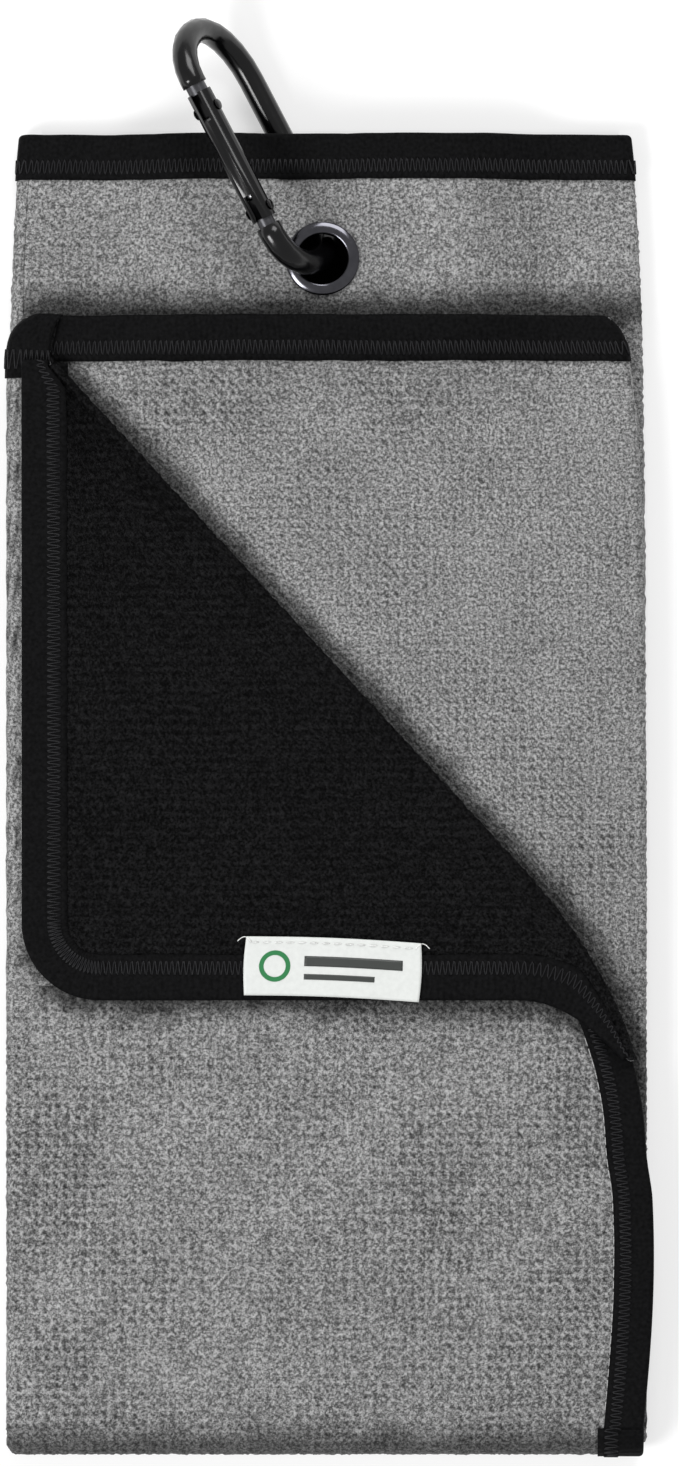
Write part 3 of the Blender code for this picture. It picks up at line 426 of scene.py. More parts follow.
def corner_foot():
    """Height at which the sinking bottom edge meets the roll, found by stepping towards it."""
    y = CORNER_EDGE_Y
    for _ in range(FOOT_STEPS):
        y += FOOT_SHARE * (CORNER_EDGE_Y + float(corner_sink(roll_x(y))) - y)
    return y


CORNER_FOOT = corner_foot()


# ---------------------------------------------------------------- meshes from arrays
def mesh_from(name, points, polygons, uv=None, shades=None, smooth=True):
    """A mesh from its points and a list of index arrays, one array for each size of polygon.

    uv holds two numbers a point. shades maps an attribute's name to one number a point.
    """
    mesh = bpy.data.meshes.new(name)
    corners = np.concatenate([group.reshape(-1) for group in polygons]).astype(np.int32)
    sizes = np.concatenate([np.full(len(group), group.shape[1]) for group in polygons])
    starts = np.concatenate([[0], np.cumsum(sizes)[:-1]]).astype(np.int32)
    mesh.vertices.add(len(points))
    mesh.vertices.foreach_set("co", points.astype(np.float32).reshape(-1))
    mesh.loops.add(len(corners))
    mesh.loops.foreach_set("vertex_index", corners)
    mesh.polygons.add(len(sizes))
    mesh.polygons.foreach_set("loop_start", starts)
    mesh.polygons.foreach_set("use_smooth", np.full(len(sizes), smooth))
    if uv is not None:
        layer = mesh.uv_layers.new(name="sheet")
        layer.data.foreach_set("uv", uv[corners].astype(np.float32).reshape(-1))
    for label, values in (shades or {}).items():
        layer = mesh.attributes.new(label, "FLOAT", "POINT")
        layer.data.foreach_set("value", values.astype(np.float32))
    mesh.update(calc_edges=True)
    return mesh


def add_piece(name, mesh, body, slot, *materials, replaces=()):
    """Put a finished mesh into the scene as a piece that rides on a body of the frame."""
    piece = bpy.data.objects.new(name, mesh)
    bpy.context.scene.collection.objects.link(piece)
    for material in materials:
        mesh.materials.append(material)
    if body:
        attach(piece, body)
    if replaces:
        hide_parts(*replaces)
    return piece


def normals_of(points):
    """Unit normals of a grid: the cross product of its steps along the columns and the rows."""
    return unit(np.cross(np.gradient(points, axis=1), np.gradient(points, axis=0)))


def grid_faces(index):
    """Quads of a grid of indices, facing along columns x rows."""
    return np.stack([index[:-1, :-1], index[:-1, 1:], index[1:, 1:], index[1:, :-1]], -1).reshape(-1, 4)


def rim_faces(fine, coarse, ratio, flip):
    """Polygons between a fine edge and the coarse edge under it, ratio fine steps to each."""
    count = len(coarse) - 1
    pick = np.arange(count)[:, None] * ratio + np.arange(ratio + 1)[None, :]
    across = np.stack([coarse[1:], coarse[:-1]], -1)
    faces = np.concatenate([fine[pick], across], axis=1)
    return faces[:, ::-1] if flip else faces


def shell(name, points, thickness, relief=None, uv=None, shades=None, ratio=4):
    """Closed sheet about a grid of points: a fine face with its relief, half a thickness along the
    grid's normals, a coarse face half a thickness behind it, and a rim between the two."""
    rows, columns = points.shape[:2]
    normal = normals_of(points)
    height = thickness / 2 + (0.0 if relief is None else relief[..., None])
    front = (points + normal * height).reshape(-1, 3)
    back = (points - normal * thickness / 2)[::ratio, ::ratio]
    outer = np.arange(rows * columns).reshape(rows, columns)
    inner = len(front) + np.arange(back.shape[0] * back.shape[1]).reshape(back.shape[:2])
    rims = np.concatenate([
        rim_faces(outer[0], inner[0], ratio, True),
        rim_faces(outer[-1], inner[-1], ratio, False),
        rim_faces(outer[:, 0], inner[:, 0], ratio, False),
        rim_faces(outer[:, -1], inner[:, -1], ratio, True)])
    faces = [grid_faces(outer), grid_faces(inner)[:, ::-1], rims]
    full = np.concatenate([front, back.reshape(-1, 3)])

    def both(values):
        return np.concatenate([values.reshape(-1, *values.shape[2:]),
                               values[::ratio, ::ratio].reshape(-1, *values.shape[2:])])

    mesh = mesh_from(name, full, faces, None if uv is None else both(uv),
                     {label: both(values) for label, values in (shades or {}).items()})
    slots = np.zeros(len(mesh.polygons), np.int32)
    slots[len(faces[0]):] = 1
    return mesh, slots


def tube(name, lines, radius, sides=5):
    """Round threads along polylines: a ring of points about every station, with closed ends."""
    everything, polygons, caps, base = [], [], [], 0
    turn = np.linspace(0.0, 2 * np.pi, sides, endpoint=False)
    for line in lines:
        along = unit(np.gradient(line, axis=0))
        upward = np.where(np.abs(along[:, 2:]) > 0.9, [[1.0, 0.0, 0.0]], [[0.0, 0.0, 1.0]])
        side = unit(np.cross(along, upward))
        top = np.cross(side, along)
        ring = (np.cos(turn)[None, :, None] * side[:, None, :]
                + np.sin(turn)[None, :, None] * top[:, None, :])
        everything.append((line[:, None, :] + radius * ring).reshape(-1, 3))
        index = base + np.arange(len(line) * sides).reshape(len(line), sides)
        closed = np.concatenate([index, index[:, :1]], axis=1)
        polygons.append(grid_faces(closed)[:, ::-1])
        caps += [index[0], index[-1][::-1]]
        base += len(line) * sides
    return mesh_from(name, np.concatenate(everything), [np.concatenate(polygons), np.array(caps)])


# ---------------------------------------------------------------- materials
def add_node(tree, kind, values=None, links=None, stops=(), **settings):
    """Add a shader node with its settings, its sockets' values, the links into it and, where it is
    a colour ramp, its (position, colour) stops."""
    node = tree.nodes.new(kind)
    for key, value in settings.items():
        setattr(node, key, value)
    for socket, value in (values or {}).items():
        node.inputs[socket].default_value = value
    for socket, source in (links or {}).items():
        tree.links.new(source, node.inputs[socket])
    while stops and len(node.color_ramp.elements) < len(stops):
        node.color_ramp.elements.new(1.0)
    for index, (position, colour) in enumerate(stops):
        node.color_ramp.elements[index].position = position
        node.color_ramp.elements[index].color = colour
    return node


def new_material(name, **values):
    """A Principled material. values are the shader's sockets, spaces written as underscores."""
    material = bpy.data.materials.new(name)
    material.use_nodes = True
    tree = material.node_tree
    tree.nodes.clear()
    shader = add_node(tree, "ShaderNodeBsdfPrincipled",
                      {key.replace("_", " "): value for key, value in values.items()})
    add_node(tree, "ShaderNodeOutputMaterial", links={"Surface": shader.outputs[0]})
    return material, tree, shader


def tinted(colour, factor):
    """A linear colour made darker or lighter by a factor."""
    return (*[min(channel * factor, 1.0) for channel in colour[:3]], 1.0)


def shade(value):
    """A neutral linear colour."""
    return (value, value, value, 1.0)


def terry_cloth(name, colour, contrast, sheen):
    """Microfibre waffle cloth: matt cut loops that scatter light, with painted shade in the pits of the
    weave, a speckle as wide as a loop, slow cloudy patches, and bands of painted shade beside the roll,
    the turned corner and the front half's end, and over the bottom fold."""
    base = linear(colour)
    material, tree, shader = new_material(name, Roughness=0.95, Sheen_Weight=sheen,
                                          Sheen_Roughness=0.5, Specular_IOR_Level=0.06)
    place_of = add_node(tree, "ShaderNodeTexCoord").outputs["Object"]
    loops = add_node(tree, "ShaderNodeTexNoise", {"Scale": 1 / LOOP, "Detail": 3.0, "Roughness": 0.8},
                     {"Vector": place_of}).outputs["Fac"]
    patches = add_node(tree, "ShaderNodeTexNoise", {"Scale": 1 / PATCH, "Detail": 2.0},
                       {"Vector": place_of}).outputs["Fac"]
    # Painted shade in the pits of the weave, with a random speckle.
    pit = add_node(tree, "ShaderNodeAttribute", attribute_name="pit").outputs["Fac"]
    # Painted shade in bands beside the roll, the turned corner and the front half's end, and over the
    # fold.
    pressed = add_node(tree, "ShaderNodeAttribute", attribute_name="pressed").outputs["Fac"]
    tone = add_node(tree, "ShaderNodeValToRGB", links={"Fac": loops},
                    stops=((0.40, tinted(base, 1 - contrast)), (0.50, base),
                           (0.61, tinted(base, 1 + contrast * 1.4)))).outputs[0]
    for source, stops in ((patches, ((0.3, shade(0.86)), (0.7, shade(1.0)))),
                          (pit, ((0.0, shade(1.0)), (1.0, shade(0.16)))),
                          (pressed, ((0.0, shade(1.0)), (1.0, shade(0.30))))):
        factor = add_node(tree, "ShaderNodeValToRGB", links={"Fac": source}, stops=stops)
        tone = add_node(tree, "ShaderNodeMixRGB", {"Fac": 1.0},
                        {"Color1": tone, "Color2": factor.outputs[0]}, blend_type="MULTIPLY").outputs[0]
    tree.links.new(tone, shader.inputs["Base Color"])
    bump = add_node(tree, "ShaderNodeBump", {"Strength": 0.6, "Distance": 0.0003}, {"Height": loops})
    tree.links.new(bump.outputs[0], shader.inputs["Normal"])
    return material


def binding_tape(name, colour):
    """Folded polyester tape: a flat ribbed weave, its ribs across the tape's length, with a dull
    sheen. A wave node's bands are a tenth of pi over its scale apart."""
    base = linear(colour)
    material, tree, shader = new_material(name, Roughness=0.75, Specular_IOR_Level=0.05)
    uv = add_node(tree, "ShaderNodeUVMap", uv_map="sheet")
    ribs = add_node(tree, "ShaderNodeTexWave", {"Scale": math.pi / 10 / RIB, "Distortion": 1.5,
                                                "Detail": 2.0, "Detail Scale": 3.0},
                    {"Vector": uv.outputs[0]}, bands_direction="X")
    place_of = add_node(tree, "ShaderNodeTexCoord")
    fuzz = add_node(tree, "ShaderNodeTexNoise", {"Scale": 1 / FUZZ, "Detail": 3.0},
                    {"Vector": place_of.outputs["Object"]}).outputs["Fac"]
    tone = add_node(tree, "ShaderNodeValToRGB", links={"Fac": fuzz},
                    stops=((0.3, tinted(base, 0.55)), (0.7, tinted(base, 1.6))))
    tree.links.new(tone.outputs[0], shader.inputs["Base Color"])
    mixed = add_node(tree, "ShaderNodeMath", links={0: ribs.outputs["Fac"], 1: fuzz}, operation="ADD")
    bump = add_node(tree, "ShaderNodeBump", {"Strength": 0.5, "Distance": 0.00018},
                    {"Height": mixed.outputs[0]})
    tree.links.new(bump.outputs[0], shader.inputs["Normal"])
    return material


def spun_thread(name, colour):
    """Polyester sewing thread: a faint gloss from its twist."""
    base = linear(colour)
    material, tree, shader = new_material(name, Roughness=0.5, Specular_IOR_Level=0.2)
    place_of = add_node(tree, "ShaderNodeTexCoord")
    twist = add_node(tree, "ShaderNodeTexNoise", {"Scale": 1 / TWIST, "Detail": 1.0},
                     {"Vector": place_of.outputs["Object"]})
    tone = add_node(tree, "ShaderNodeValToRGB", links={"Fac": twist.outputs["Fac"]},
                    stops=((0.3, tinted(base, 0.7)), (0.7, tinted(base, 1.25))))
    tree.links.new(tone.outputs[0], shader.inputs["Base Color"])
    return material


def satin_ribbon(name, colour):
    """Woven satin: fine crosswise threads and a soft gloss."""
    base = linear(colour)
    material, tree, shader = new_material(name, Roughness=0.42, Sheen_Weight=0.15,
                                          Specular_IOR_Level=0.4)
    place_of = add_node(tree, "ShaderNodeTexCoord")
    weave = add_node(tree, "ShaderNodeTexNoise", {"Scale": 1 / SATIN_THREAD, "Detail": 2.0},
                     {"Vector": place_of.outputs["Object"]}).outputs["Fac"]
    tone = add_node(tree, "ShaderNodeValToRGB", links={"Fac": weave},
                    stops=((0.3, tinted(base, 0.93)), (0.7, base)))
    tree.links.new(tone.outputs[0], shader.inputs["Base Color"])
    bump = add_node(tree, "ShaderNodeBump", {"Strength": 0.25, "Distance": 0.0001}, {"Height": weave})
    tree.links.new(bump.outputs[0], shader.inputs["Normal"])
    return material


def plated_metal(name, colour, roughness, wear, coat=0.0, metallic=1.0):
    """Metal with faint polishing marks, some of them a little brighter. Anodised aluminium is
    dark under a clear skin, and plated brass is mirror smooth."""
    base = linear(colour)
    material, tree, shader = new_material(name, Metallic=metallic, Coat_Weight=coat,
                                          Coat_Roughness=0.08)
    place_of = add_node(tree, "ShaderNodeTexCoord")
    marks = add_node(tree, "ShaderNodeTexNoise",
                     {"Scale": 1 / POLISH_MARK, "Detail": 4.0, "Roughness": 0.6},
                     {"Vector": place_of.outputs["Object"]}).outputs["Fac"]
    tone = add_node(tree, "ShaderNodeValToRGB", links={"Fac": marks},
                    stops=((0.35, base), (0.75, tinted(base, 1 + wear))))
    tree.links.new(tone.outputs[0], shader.inputs["Base Color"])
    dull = add_node(tree, "ShaderNodeMapRange",
                    {"To Min": roughness * 0.8, "To Max": roughness * 1.3}, {"Value": marks})
    tree.links.new(dull.outputs[0], shader.inputs["Roughness"])
    return material


MATERIALS = {}


def material(name):
    """The towel's materials, each made when it is first asked for."""
    if name not in MATERIALS:
        cloth, trim = bpy.context.scene.towel_cloth, bpy.context.scene.towel_trim
        maker, *looks = {
            "grey waffle microfibre": (terry_cloth, cloth.grey, 0.66, 0.10),
            "black waffle microfibre": (terry_cloth, cloth.black, 0.80, 0.0),
            "black binding tape": (binding_tape, trim.tape),
            "black sewing thread": (spun_thread, "#18181a"),
            "pale sewing thread": (spun_thread, "#b4b4b4"),
            "white sewing thread": (spun_thread, "#e9e9e6"),
            "white satin ribbon": (satin_ribbon, trim.satin),
            "green satin embroidery": (satin_ribbon, trim.mark),
            "charcoal satin embroidery": (satin_ribbon, "#3a3d3b"),
            "gunmetal plated brass": (plated_metal, "#55555a", 0.16, 0.3),
            "black anodised aluminium": (plated_metal, "#050506", 0.20, 0.5, 0.06, 0.2),
            "dark flattened bar": (plated_metal, "#4a4a4d", 0.34, 0.3, 0.0, 0.8),
            "bare spring steel": (plated_metal, "#b9babd", 0.32, 0.2),
        }[name]
        MATERIALS[name] = maker(name, *looks)
    return MATERIALS[name]


# ---------------------------------------------------------------- the waffle relief
def waffle(across, along, strength=1.0):
    """Relief of the waffle face at sheet coordinates, and painted shade in its pits.

    One slanted pit to a cell, a Gaussian long on one diagonal and narrow on the other, with its
    depth and place varied from cell to cell, plus the loops' random height.
    """
    cloth = bpy.context.scene.towel_cloth
    pitch = cloth.waffle_pitch
    across, along = np.broadcast_arrays(across, along)
    bent = along + 0.00045 * noise(across, along, 0.021, 11)
    swayed = across + 0.00045 * noise(across, along, 0.017, 12)
    column, row = np.floor(swayed / pitch), np.floor(bent / pitch)
    hashes = np.random.default_rng(5).uniform(0.0, 1.0, (3, 128, 128))
    vary, shift_x, shift_y = hashes[:, column.astype(int) % 128, row.astype(int) % 128]
    p = swayed / pitch - column - 0.5 + 0.14 * (shift_x - 0.5)
    q = bent / pitch - row - 0.5 + 0.14 * (shift_y - 0.5)
    pit = np.exp(-((p + q) / 0.26) ** 2 - ((p - q) / 0.74) ** 2)
    patchy = 0.72 + 0.38 * noise(across, along, 0.016, 7)
    pit = pit * (0.55 + 0.45 * vary) * patchy * strength
    rough = np.random.default_rng(3).normal(0.0, 1.0, across.shape)
    height = -cloth.pit_depth * pit + cloth.terry * np.clip(rough, -2.0, 2.0)
    # The second value is painted shade, darkest in the pits, with a random speckle.
    return height, np.clip(pit * 1.25 + 0.13 * rough, 0.0, 1.0)


def rib_rows(across, along):
    """Relief of the black reverse: the same weave seen from behind, faint crosswise rows broken by
    slanted dashes, and loose loops."""
    cloth = bpy.context.scene.towel_cloth
    _, dashes = waffle(across, along, 0.9)
    swing = 1.6 * noise(across, along, 0.007, 21)
    rows = 0.5 + 0.5 * np.cos(2 * np.pi * along / cloth.waffle_pitch + swing)
    rough = np.random.default_rng(4).normal(0.0, 1.0, np.broadcast(across, along).shape)
    open_part = np.clip(0.45 * rows + 0.55 - 0.75 * dashes, 0.0, 1.0)
    height = 0.00026 * open_part + cloth.terry * 1.1 * np.clip(rough, -2.0, 2.0)
    # The second value is painted shade, darkest where the rows lie low and in the dashes, with a random
    # speckle.
    return height, np.clip(0.80 - 0.80 * open_part + 0.20 * rough, 0.0, 1.0)


def rework(mesh, change):
    """Change a mesh in place with a function that edits its vertices, edges and faces."""
    work = bmesh.new()
    work.from_mesh(mesh)
    change(work)
    work.to_mesh(mesh)
    work.free()


def open_hole(work):
    """Open the sheet for the eyelet: drop the faces inside it, draw the edges onto a circle and
    join the two faces of the cloth there."""
    inside = [face for face in work.faces
              if math.hypot(face.calc_center_median().x - EYELET_X,
                            face.calc_center_median().y - EYELET_Y) < EYELET_HOLE]
    bmesh.ops.delete(work, geom=inside, context="FACES")
    edges = [edge for edge in work.edges if edge.is_boundary]
    for vert in {vert for edge in edges for vert in edge.verts}:
        reach = math.hypot(vert.co.x - EYELET_X, vert.co.y - EYELET_Y) / EYELET_HOLE
        vert.co.x = EYELET_X + (vert.co.x - EYELET_X) / reach
        vert.co.y = EYELET_Y + (vert.co.y - EYELET_Y) / reach
    bmesh.ops.bridge_loops(work, edges=edges)


def painted_shade_bands(points, across, along):
    """Share of painted shade, which darkens the cloth's colour in bands where shadow falls: beside the
    roll, below the turned corner, above the front half's end and over the bottom fold, each an S with a
    fuzzy border."""
    x, y, z = np.moveaxis(points, -1, 0)
    fuzz = 0.0011 * noise(across, along, 0.0028, 41) + 0.0009 * noise(across, along, 0.009, 42)
    front = z > MIDDLE_Z + PITCH
    edge = np.where(y > CORNER_FOOT, roll_x(y), flap_end(y))
    beside = (x - edge - PITCH / 2 - CLOTH / 2) * SHADE_SIDE_SLOPE + fuzz
    uncovered = (y < FRONT_EDGE) & ((y > CORNER_FOOT) | (x > edge - 0.001))
    roll = np.where(front & uncovered, 1.0 - smoothstep(beside / ROLL_SHADE), 0.0)
    # The turned corner's bottom edge: rounded on the left, sinking on the right.
    turn = CORNER_RADIUS + TAPE_HALF
    from_side = np.clip(turn - (x - CORNER_LEFT), 0.0, turn)
    rounded = turn - np.sqrt(np.maximum(turn ** 2 - from_side ** 2, 0.0))
    drop = CORNER_BOTTOM + rounded + corner_sink(x) - y + fuzz
    outer = z > MIDDLE_Z + LEVEL_INNER + PITCH / 2
    below = np.where(outer, 1.0 - smoothstep(drop / CORNER_SHADE), 0.0)
    below = below * smoothstep((x - CORNER_LEFT - 0.0002) / 0.0030)
    above = END_SHADE_STRENGTH * (1.0 - smoothstep((y - FRONT_END - 0.0014 + fuzz) / END_SHADE))
    near = smoothstep((y - FRONT_END + 0.0045 + fuzz) / 0.0035)
    above = np.where(z < MIDDLE_Z + LIFT, above * near, 0.0)
    fold = FOLD_SHADE_STRENGTH * (1.0 - smoothstep((y - BOTTOM_SIDE - 0.0016 + fuzz) / FOLD_SHADE))
    return {"roll": roll, "corner": below, "end": above, "fold": fold}


def cloth_piece(name, points, across, along, body, replaces=(), face="grey", strength=1.0,
                hole=False, blend=None, pressed=()):
    """One stretch of the towel: a closed sheet with its relief.

    pressed names the borders where shade is painted into its colour. blend is the layer's level for a
    piece of the bottom fold, which then rides on no body.
    """
    across, along = np.broadcast_arrays(across, along)
    # The relief, and painted shade in the weave's hollows.
    height, pit = waffle(across, along, strength) if face == "grey" else rib_rows(across, along)
    uv = np.stack([across, along], axis=-1)
    # Painted shade in bands beside raised edges and over the fold, kept as an attribute.
    borders = painted_shade_bands(points, across, along)
    shade_share = np.max([borders[key] for key in pressed] or [np.zeros(across.shape)], axis=0)
    mesh, slots = shell(name, points, CLOTH, height, uv, {"pit": pit, "pressed": shade_share})
    mesh.polygons.foreach_set("material_index", slots)
    if hole:
        rework(mesh, open_hole)
    looks = [material("grey waffle microfibre"), material("black waffle microfibre")]
    if face == "black":
        looks.reverse()
    piece = add_piece(name, mesh, None if blend else body, "grey_waffle", *looks, replaces=replaces)
    if blend:
        across_fold(piece, blend)
    return piece


# ---------------------------------------------------------------- pieces
def build_rear_cloth():
    """Three layers of the rear half: the centre panel on top, whose upper strip shows, the inner
    flap, and the outer flap underneath."""
    cloth = bpy.context.scene.towel_cloth
    fine, coarse = cloth.fine_step, cloth.coarse_step
    centre = steps(RUN_CENTRE, RUN_LEFT, fine)
    behind = steps(RUN_CENTRE, RUN_LEFT, fine * COVERED)
    outer = steps(RUN_OUTER, RUN_END, fine * UNDER)
    layers = (
        ("rear_centre_panel_top", joined(steps(RUN_RIGHT, RUN_CENTRE, CURL_STEPS[1]), centre),
         steps(REAR_EDGE, SEEN_END, fine), True, 0.75, "end"),
        ("rear_centre_panel", joined(steps(RUN_RIGHT, RUN_CENTRE, CURL_STEPS[3]), behind),
         steps(SEEN_END, FOLD_Y, fine * COVERED), False, 0.9, "fold"),
        ("rear_inner_flap", steps(0.0, RUN_RIGHT, coarse),
         steps(REAR_EDGE, FOLD_Y, coarse), True, 1.0, "fold"),
        ("rear_outer_flap", joined(steps(RUN_LEFT, RUN_OUTER, CURL_STEPS[2]), outer),
         steps(REAR_EDGE, FOLD_Y - FOLD_OVERLAP, fine * UNDER), True, 1.0, "fold"),
    )
    # The last item of each layer names its band of painted shade.
    for name, run, y, hole, strength, pressed in layers:
        x, level = (value[None, :] for value in spiral(run)[:2])
        points = place("rear", x, level, y[:, None])
        piece = cloth_piece(name, points, run[None, :], FOLD_Y - y[:, None], "towel",
                            strength=strength, hole=hole, pressed=(pressed,))
        if name == "rear_centre_panel_top":
            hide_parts("rear_cloth")


def build_fold_cloth():
    """The bottom fold: half circles about its axis, one for each layer of the section."""
    fine = bpy.context.scene.towel_cloth.fine_step
    layers = (("fold_inner_flap", joined(steps(0.0, RUN_RIGHT, 0.0012),
                                         steps(RUN_RIGHT, RUN_CENTRE, CURL_STEPS[2])), LEVEL_INNER, 16),
              ("fold_centre_panel", steps(RUN_CENTRE, RUN_LEFT, 0.0010), LEVEL_CENTRE, 8),
              ("fold_outer_flap", joined(steps(RUN_LEFT, RUN_OUTER, CURL_STEPS[2]),
                                         steps(RUN_OUTER, RUN_END, fine)), LEVEL_OUTER, 28))
    for name, run, reach, count in layers:
        angle = np.linspace(0.0, np.pi, count + 1)
        x, level = (value[None, :] for value in spiral(run)[:2])
        points = fold_place(x, level, angle[:, None])
        size = (run[-1] - run[0], max(np.pi * reach, FOLD_SHORTEST))
        area = min(float(np.trapz(np.pi * level[0], run)), size[0] * size[1])
        # The fold's cloth gets its band of painted shade.
        piece = cloth_piece(name, points, run[None, :], level * angle[:, None], None,
                            blend=reach, pressed=("fold",))
        if name == "fold_outer_flap":
            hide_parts("bottom_fold_cloth")


def front_along(y):
    """Sheet coordinate along the front half, beyond the bottom fold."""
    return np.pi * LEVEL_OUTER + y - FOLD_Y


def build_front_cloth():
    """The front half under the turned corner: inner flap, centre panel and outer flap. Each row of
    a flap whose edge isn't straight is stretched to reach it."""
    cloth = bpy.context.scene.towel_cloth
    fine, coarse = cloth.fine_step, cloth.coarse_step

    def patch(name, run, y, strength=1.0, pressed=()):
        x, level = spiral(run)[:2]
        return cloth_piece(name, place("front", x, level, y), run, front_along(y), "front_half",
                           strength=strength, pressed=pressed)

    rows = joined(steps(FOLD_Y, ROLL_FOOT[1], coarse), steps(ROLL_FOOT[1], FRONT_EDGE, fine))
    start = np.maximum(roll_x(rows) - ROLL_OVERLAP, INNER_FLAP_EDGE) - INNER_FLAP_EDGE
    share = np.linspace(0.0, 1.0, 4 * round((RUN_RIGHT - start.min()) / fine / 4) + 1)
    bend = steps(RUN_RIGHT, RUN_CENTRE, CURL_STEPS[1])[1:]
    run = start[:, None] + share[None, :] * (RUN_RIGHT - start[:, None])
    run = np.concatenate([run, np.broadcast_to(bend, (len(rows), len(bend)))], axis=1)
    # Painted shade beside the roll.
    seen = patch("front_inner_flap", run, rows[:, None],
                 0.85, pressed=("roll",))
    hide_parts("front_cloth")

    rows = steps(FOLD_Y, FRONT_EDGE - 0.012, coarse)
    end = np.maximum(roll_x(rows) - ROLL_OVERLAP, INNER_FLAP_EDGE + 0.001) - INNER_FLAP_EDGE
    run = end[:, None] * np.linspace(0.0, 1.0, 73)[None, :]
    patch("front_inner_flap_covered", run, rows[:, None])

    rows = steps(FOLD_Y, FRONT_EDGE, fine * COVERED)
    run = steps(RUN_CENTRE, RUN_LEFT, fine * COVERED)
    patch("front_centre_panel", run[None, :], rows[:, None])

    curl = steps(RUN_LEFT, RUN_OUTER, CURL_STEPS[0])
    # The last item names the bands of painted shade.
    for name, first, last, step, pressed in (
            ("front_outer_flap", FOLD_Y - FOLD_OVERLAP, CORNER_COVERS, fine, ("corner", "fold")),
            ("front_outer_flap_covered", CORNER_COVERS, FRONT_EDGE, coarse, ())):
        rows = steps(first, last, step)
        wide = flap_end(rows) - LEFT_BEND
        share = np.linspace(0.0, 1.0, 4 * round(wide.max() / step / 4) + 1)
        flat = RUN_OUTER + wide[:, None] * share[None, 1:]
        run = np.concatenate([np.broadcast_to(curl, (len(rows), len(curl))), flat], axis=1)
        patch(name, run, rows[:, None], 1.2,
              pressed=pressed)


def corner_grid(share, rows):
    """Turned corner with its black reverse upwards, from its free edge to the roll and round it.

    share runs from 0 at the free edge to 1 where the flat stretch meets the roll, and from 1 to 2
    round the half circle. Near the bottom the rows bend down with the sinking edge.
    """
    fade = 1.0 - smoothstep((rows - CORNER_EDGE_Y) / 0.030)
    roll_y = rows + (CORNER_FOOT - CORNER_EDGE_Y) * fade
    flat = np.clip(share, 0.0, 1.0)
    angle = np.pi / 2 - np.pi * np.clip(share - 1.0, 0.0, 1.0)
    axis = roll_x(roll_y)
    base = corner_x(rows) * (1 - flat) + axis * flat
    sink = corner_sink(base) / np.minimum(corner_sink(axis), -1e-9)
    y = rows + (roll_y - rows) * np.where(corner_sink(axis) < -1e-7, np.clip(sink, 0, 1), flat ** 3)
    x = base + PITCH / 2 * np.where(share > 1.0, np.cos(angle), 0.0)
    level = np.where(share > 1.0, LEVEL_OUTER + PITCH / 2 + PITCH / 2 * np.sin(angle), LEVEL_CORNER)
    return x, level, y


def build_turned_corner():
    """The corner of the outer flap, turned back over a soft roll."""
    fine = bpy.context.scene.towel_cloth.fine_step
    rows = steps(CORNER_EDGE_Y + 1e-6, ROLL_TOP[1], fine)[:, None]
    widest = roll_x(CORNER_EDGE_Y) - CORNER_EDGE_X
    flat = np.linspace(0.0, 1.0, 4 * round(widest / fine / 4) + 1)
    share = np.concatenate([flat, np.linspace(1.0, 2.0, 13)[1:]])[None, :]
    x, level, y = corner_grid(share, rows)
    points = place("front", x, level, y)
    wide = roll_x(rows[:, 0]) - corner_x(rows[:, 0]) + ROLL_TURN
    cloth_piece("turned_corner", points, share * widest, y, "front_half", face="black")


# ---------------------------------------------------------------- bindings and stitching
def tape_profile():
    """Inward distance and offset round the tape's section: a flat, a half-round nose, a flat."""
    flat = np.linspace(TAPE_WIDTH, 0.0, 9)
    turn = np.linspace(np.pi / 2, -np.pi / 2, 13)[1:-1]
    side = np.full(9, TAPE_REACH)
    inward = np.concatenate([flat, -TAPE_REACH * np.cos(turn), flat[::-1]])
    offset = np.concatenate([side, TAPE_REACH * np.sin(turn), -side])
    girth = np.concatenate([[0.0], np.cumsum(np.hypot(np.diff(inward), np.diff(offset)))])
    return inward[:, None], offset[:, None], girth[:, None]


def zigzag(surface, length, offset):
    """Stitches on a tape: the thread runs to and fro between two distances from the edge, as a
    triangle wave with rounded turns."""
    pitch = bpy.context.scene.towel_trim.stitch_pitch
    turns = np.linspace(0.0, length, max(2, int(length / pitch) * 2) * 3 + 1)
    wave = 1.0 - np.abs(2.0 * ((turns / pitch) % 1.0) - 1.0)
    across = STITCH_NEAR + (STITCH_FAR - STITCH_NEAR) * smoothstep(wave * 1.3 - 0.15)
    return surface(turns, across, offset)


def add_tape(name, surface, length, body, node, faces=(1,), blend=None, step=0.0010):
    """Binding tape along an edge and its zigzag stitches. surface(along, inward, offset) gives a
    point of the edge's surroundings, and faces the sides that are stitched, 1 up and -1 down."""
    inward, offset, girth = tape_profile()
    along = steps(0.0, length, step)
    ripple = 0.00012 * noise(along[None, :] + 3.0, girth, 0.0045, 31) * (inward > 0)
    points = surface(along[None, :], inward + ripple, offset)
    uv = np.stack(np.broadcast_arrays(along[None, :], girth), axis=-1)
    core = surface(along[None, :], TAPE_WIDTH * 0.4 + 0 * inward, 0 * offset)
    if np.sum(normals_of(points) * (points - core)) < 0:
        points, uv = points[:, ::-1], uv[:, ::-1]
    rows = points.shape[0] - (points.shape[0] - 1) % 2
    mesh, _ = shell(name, points[:rows], TAPE_WALL, uv=uv[:rows], ratio=2)
    made = [add_piece(name, mesh, None if blend else body, "black_tape", material("black binding tape"),
                      replaces=(node,))]
    if faces:
        stitches = name + "_stitches"
        lines = [zigzag(surface, length, side * (TAPE_HALF + 0.00005)) for side in faces]
        threads = tube(stitches, lines, bpy.context.scene.towel_trim.thread_radius)
        made.append(add_piece(stitches, threads, None if blend else body, "black_tape",
                              material("black sewing thread")))
    for piece in made if blend else ():
        across_fold(piece, blend)


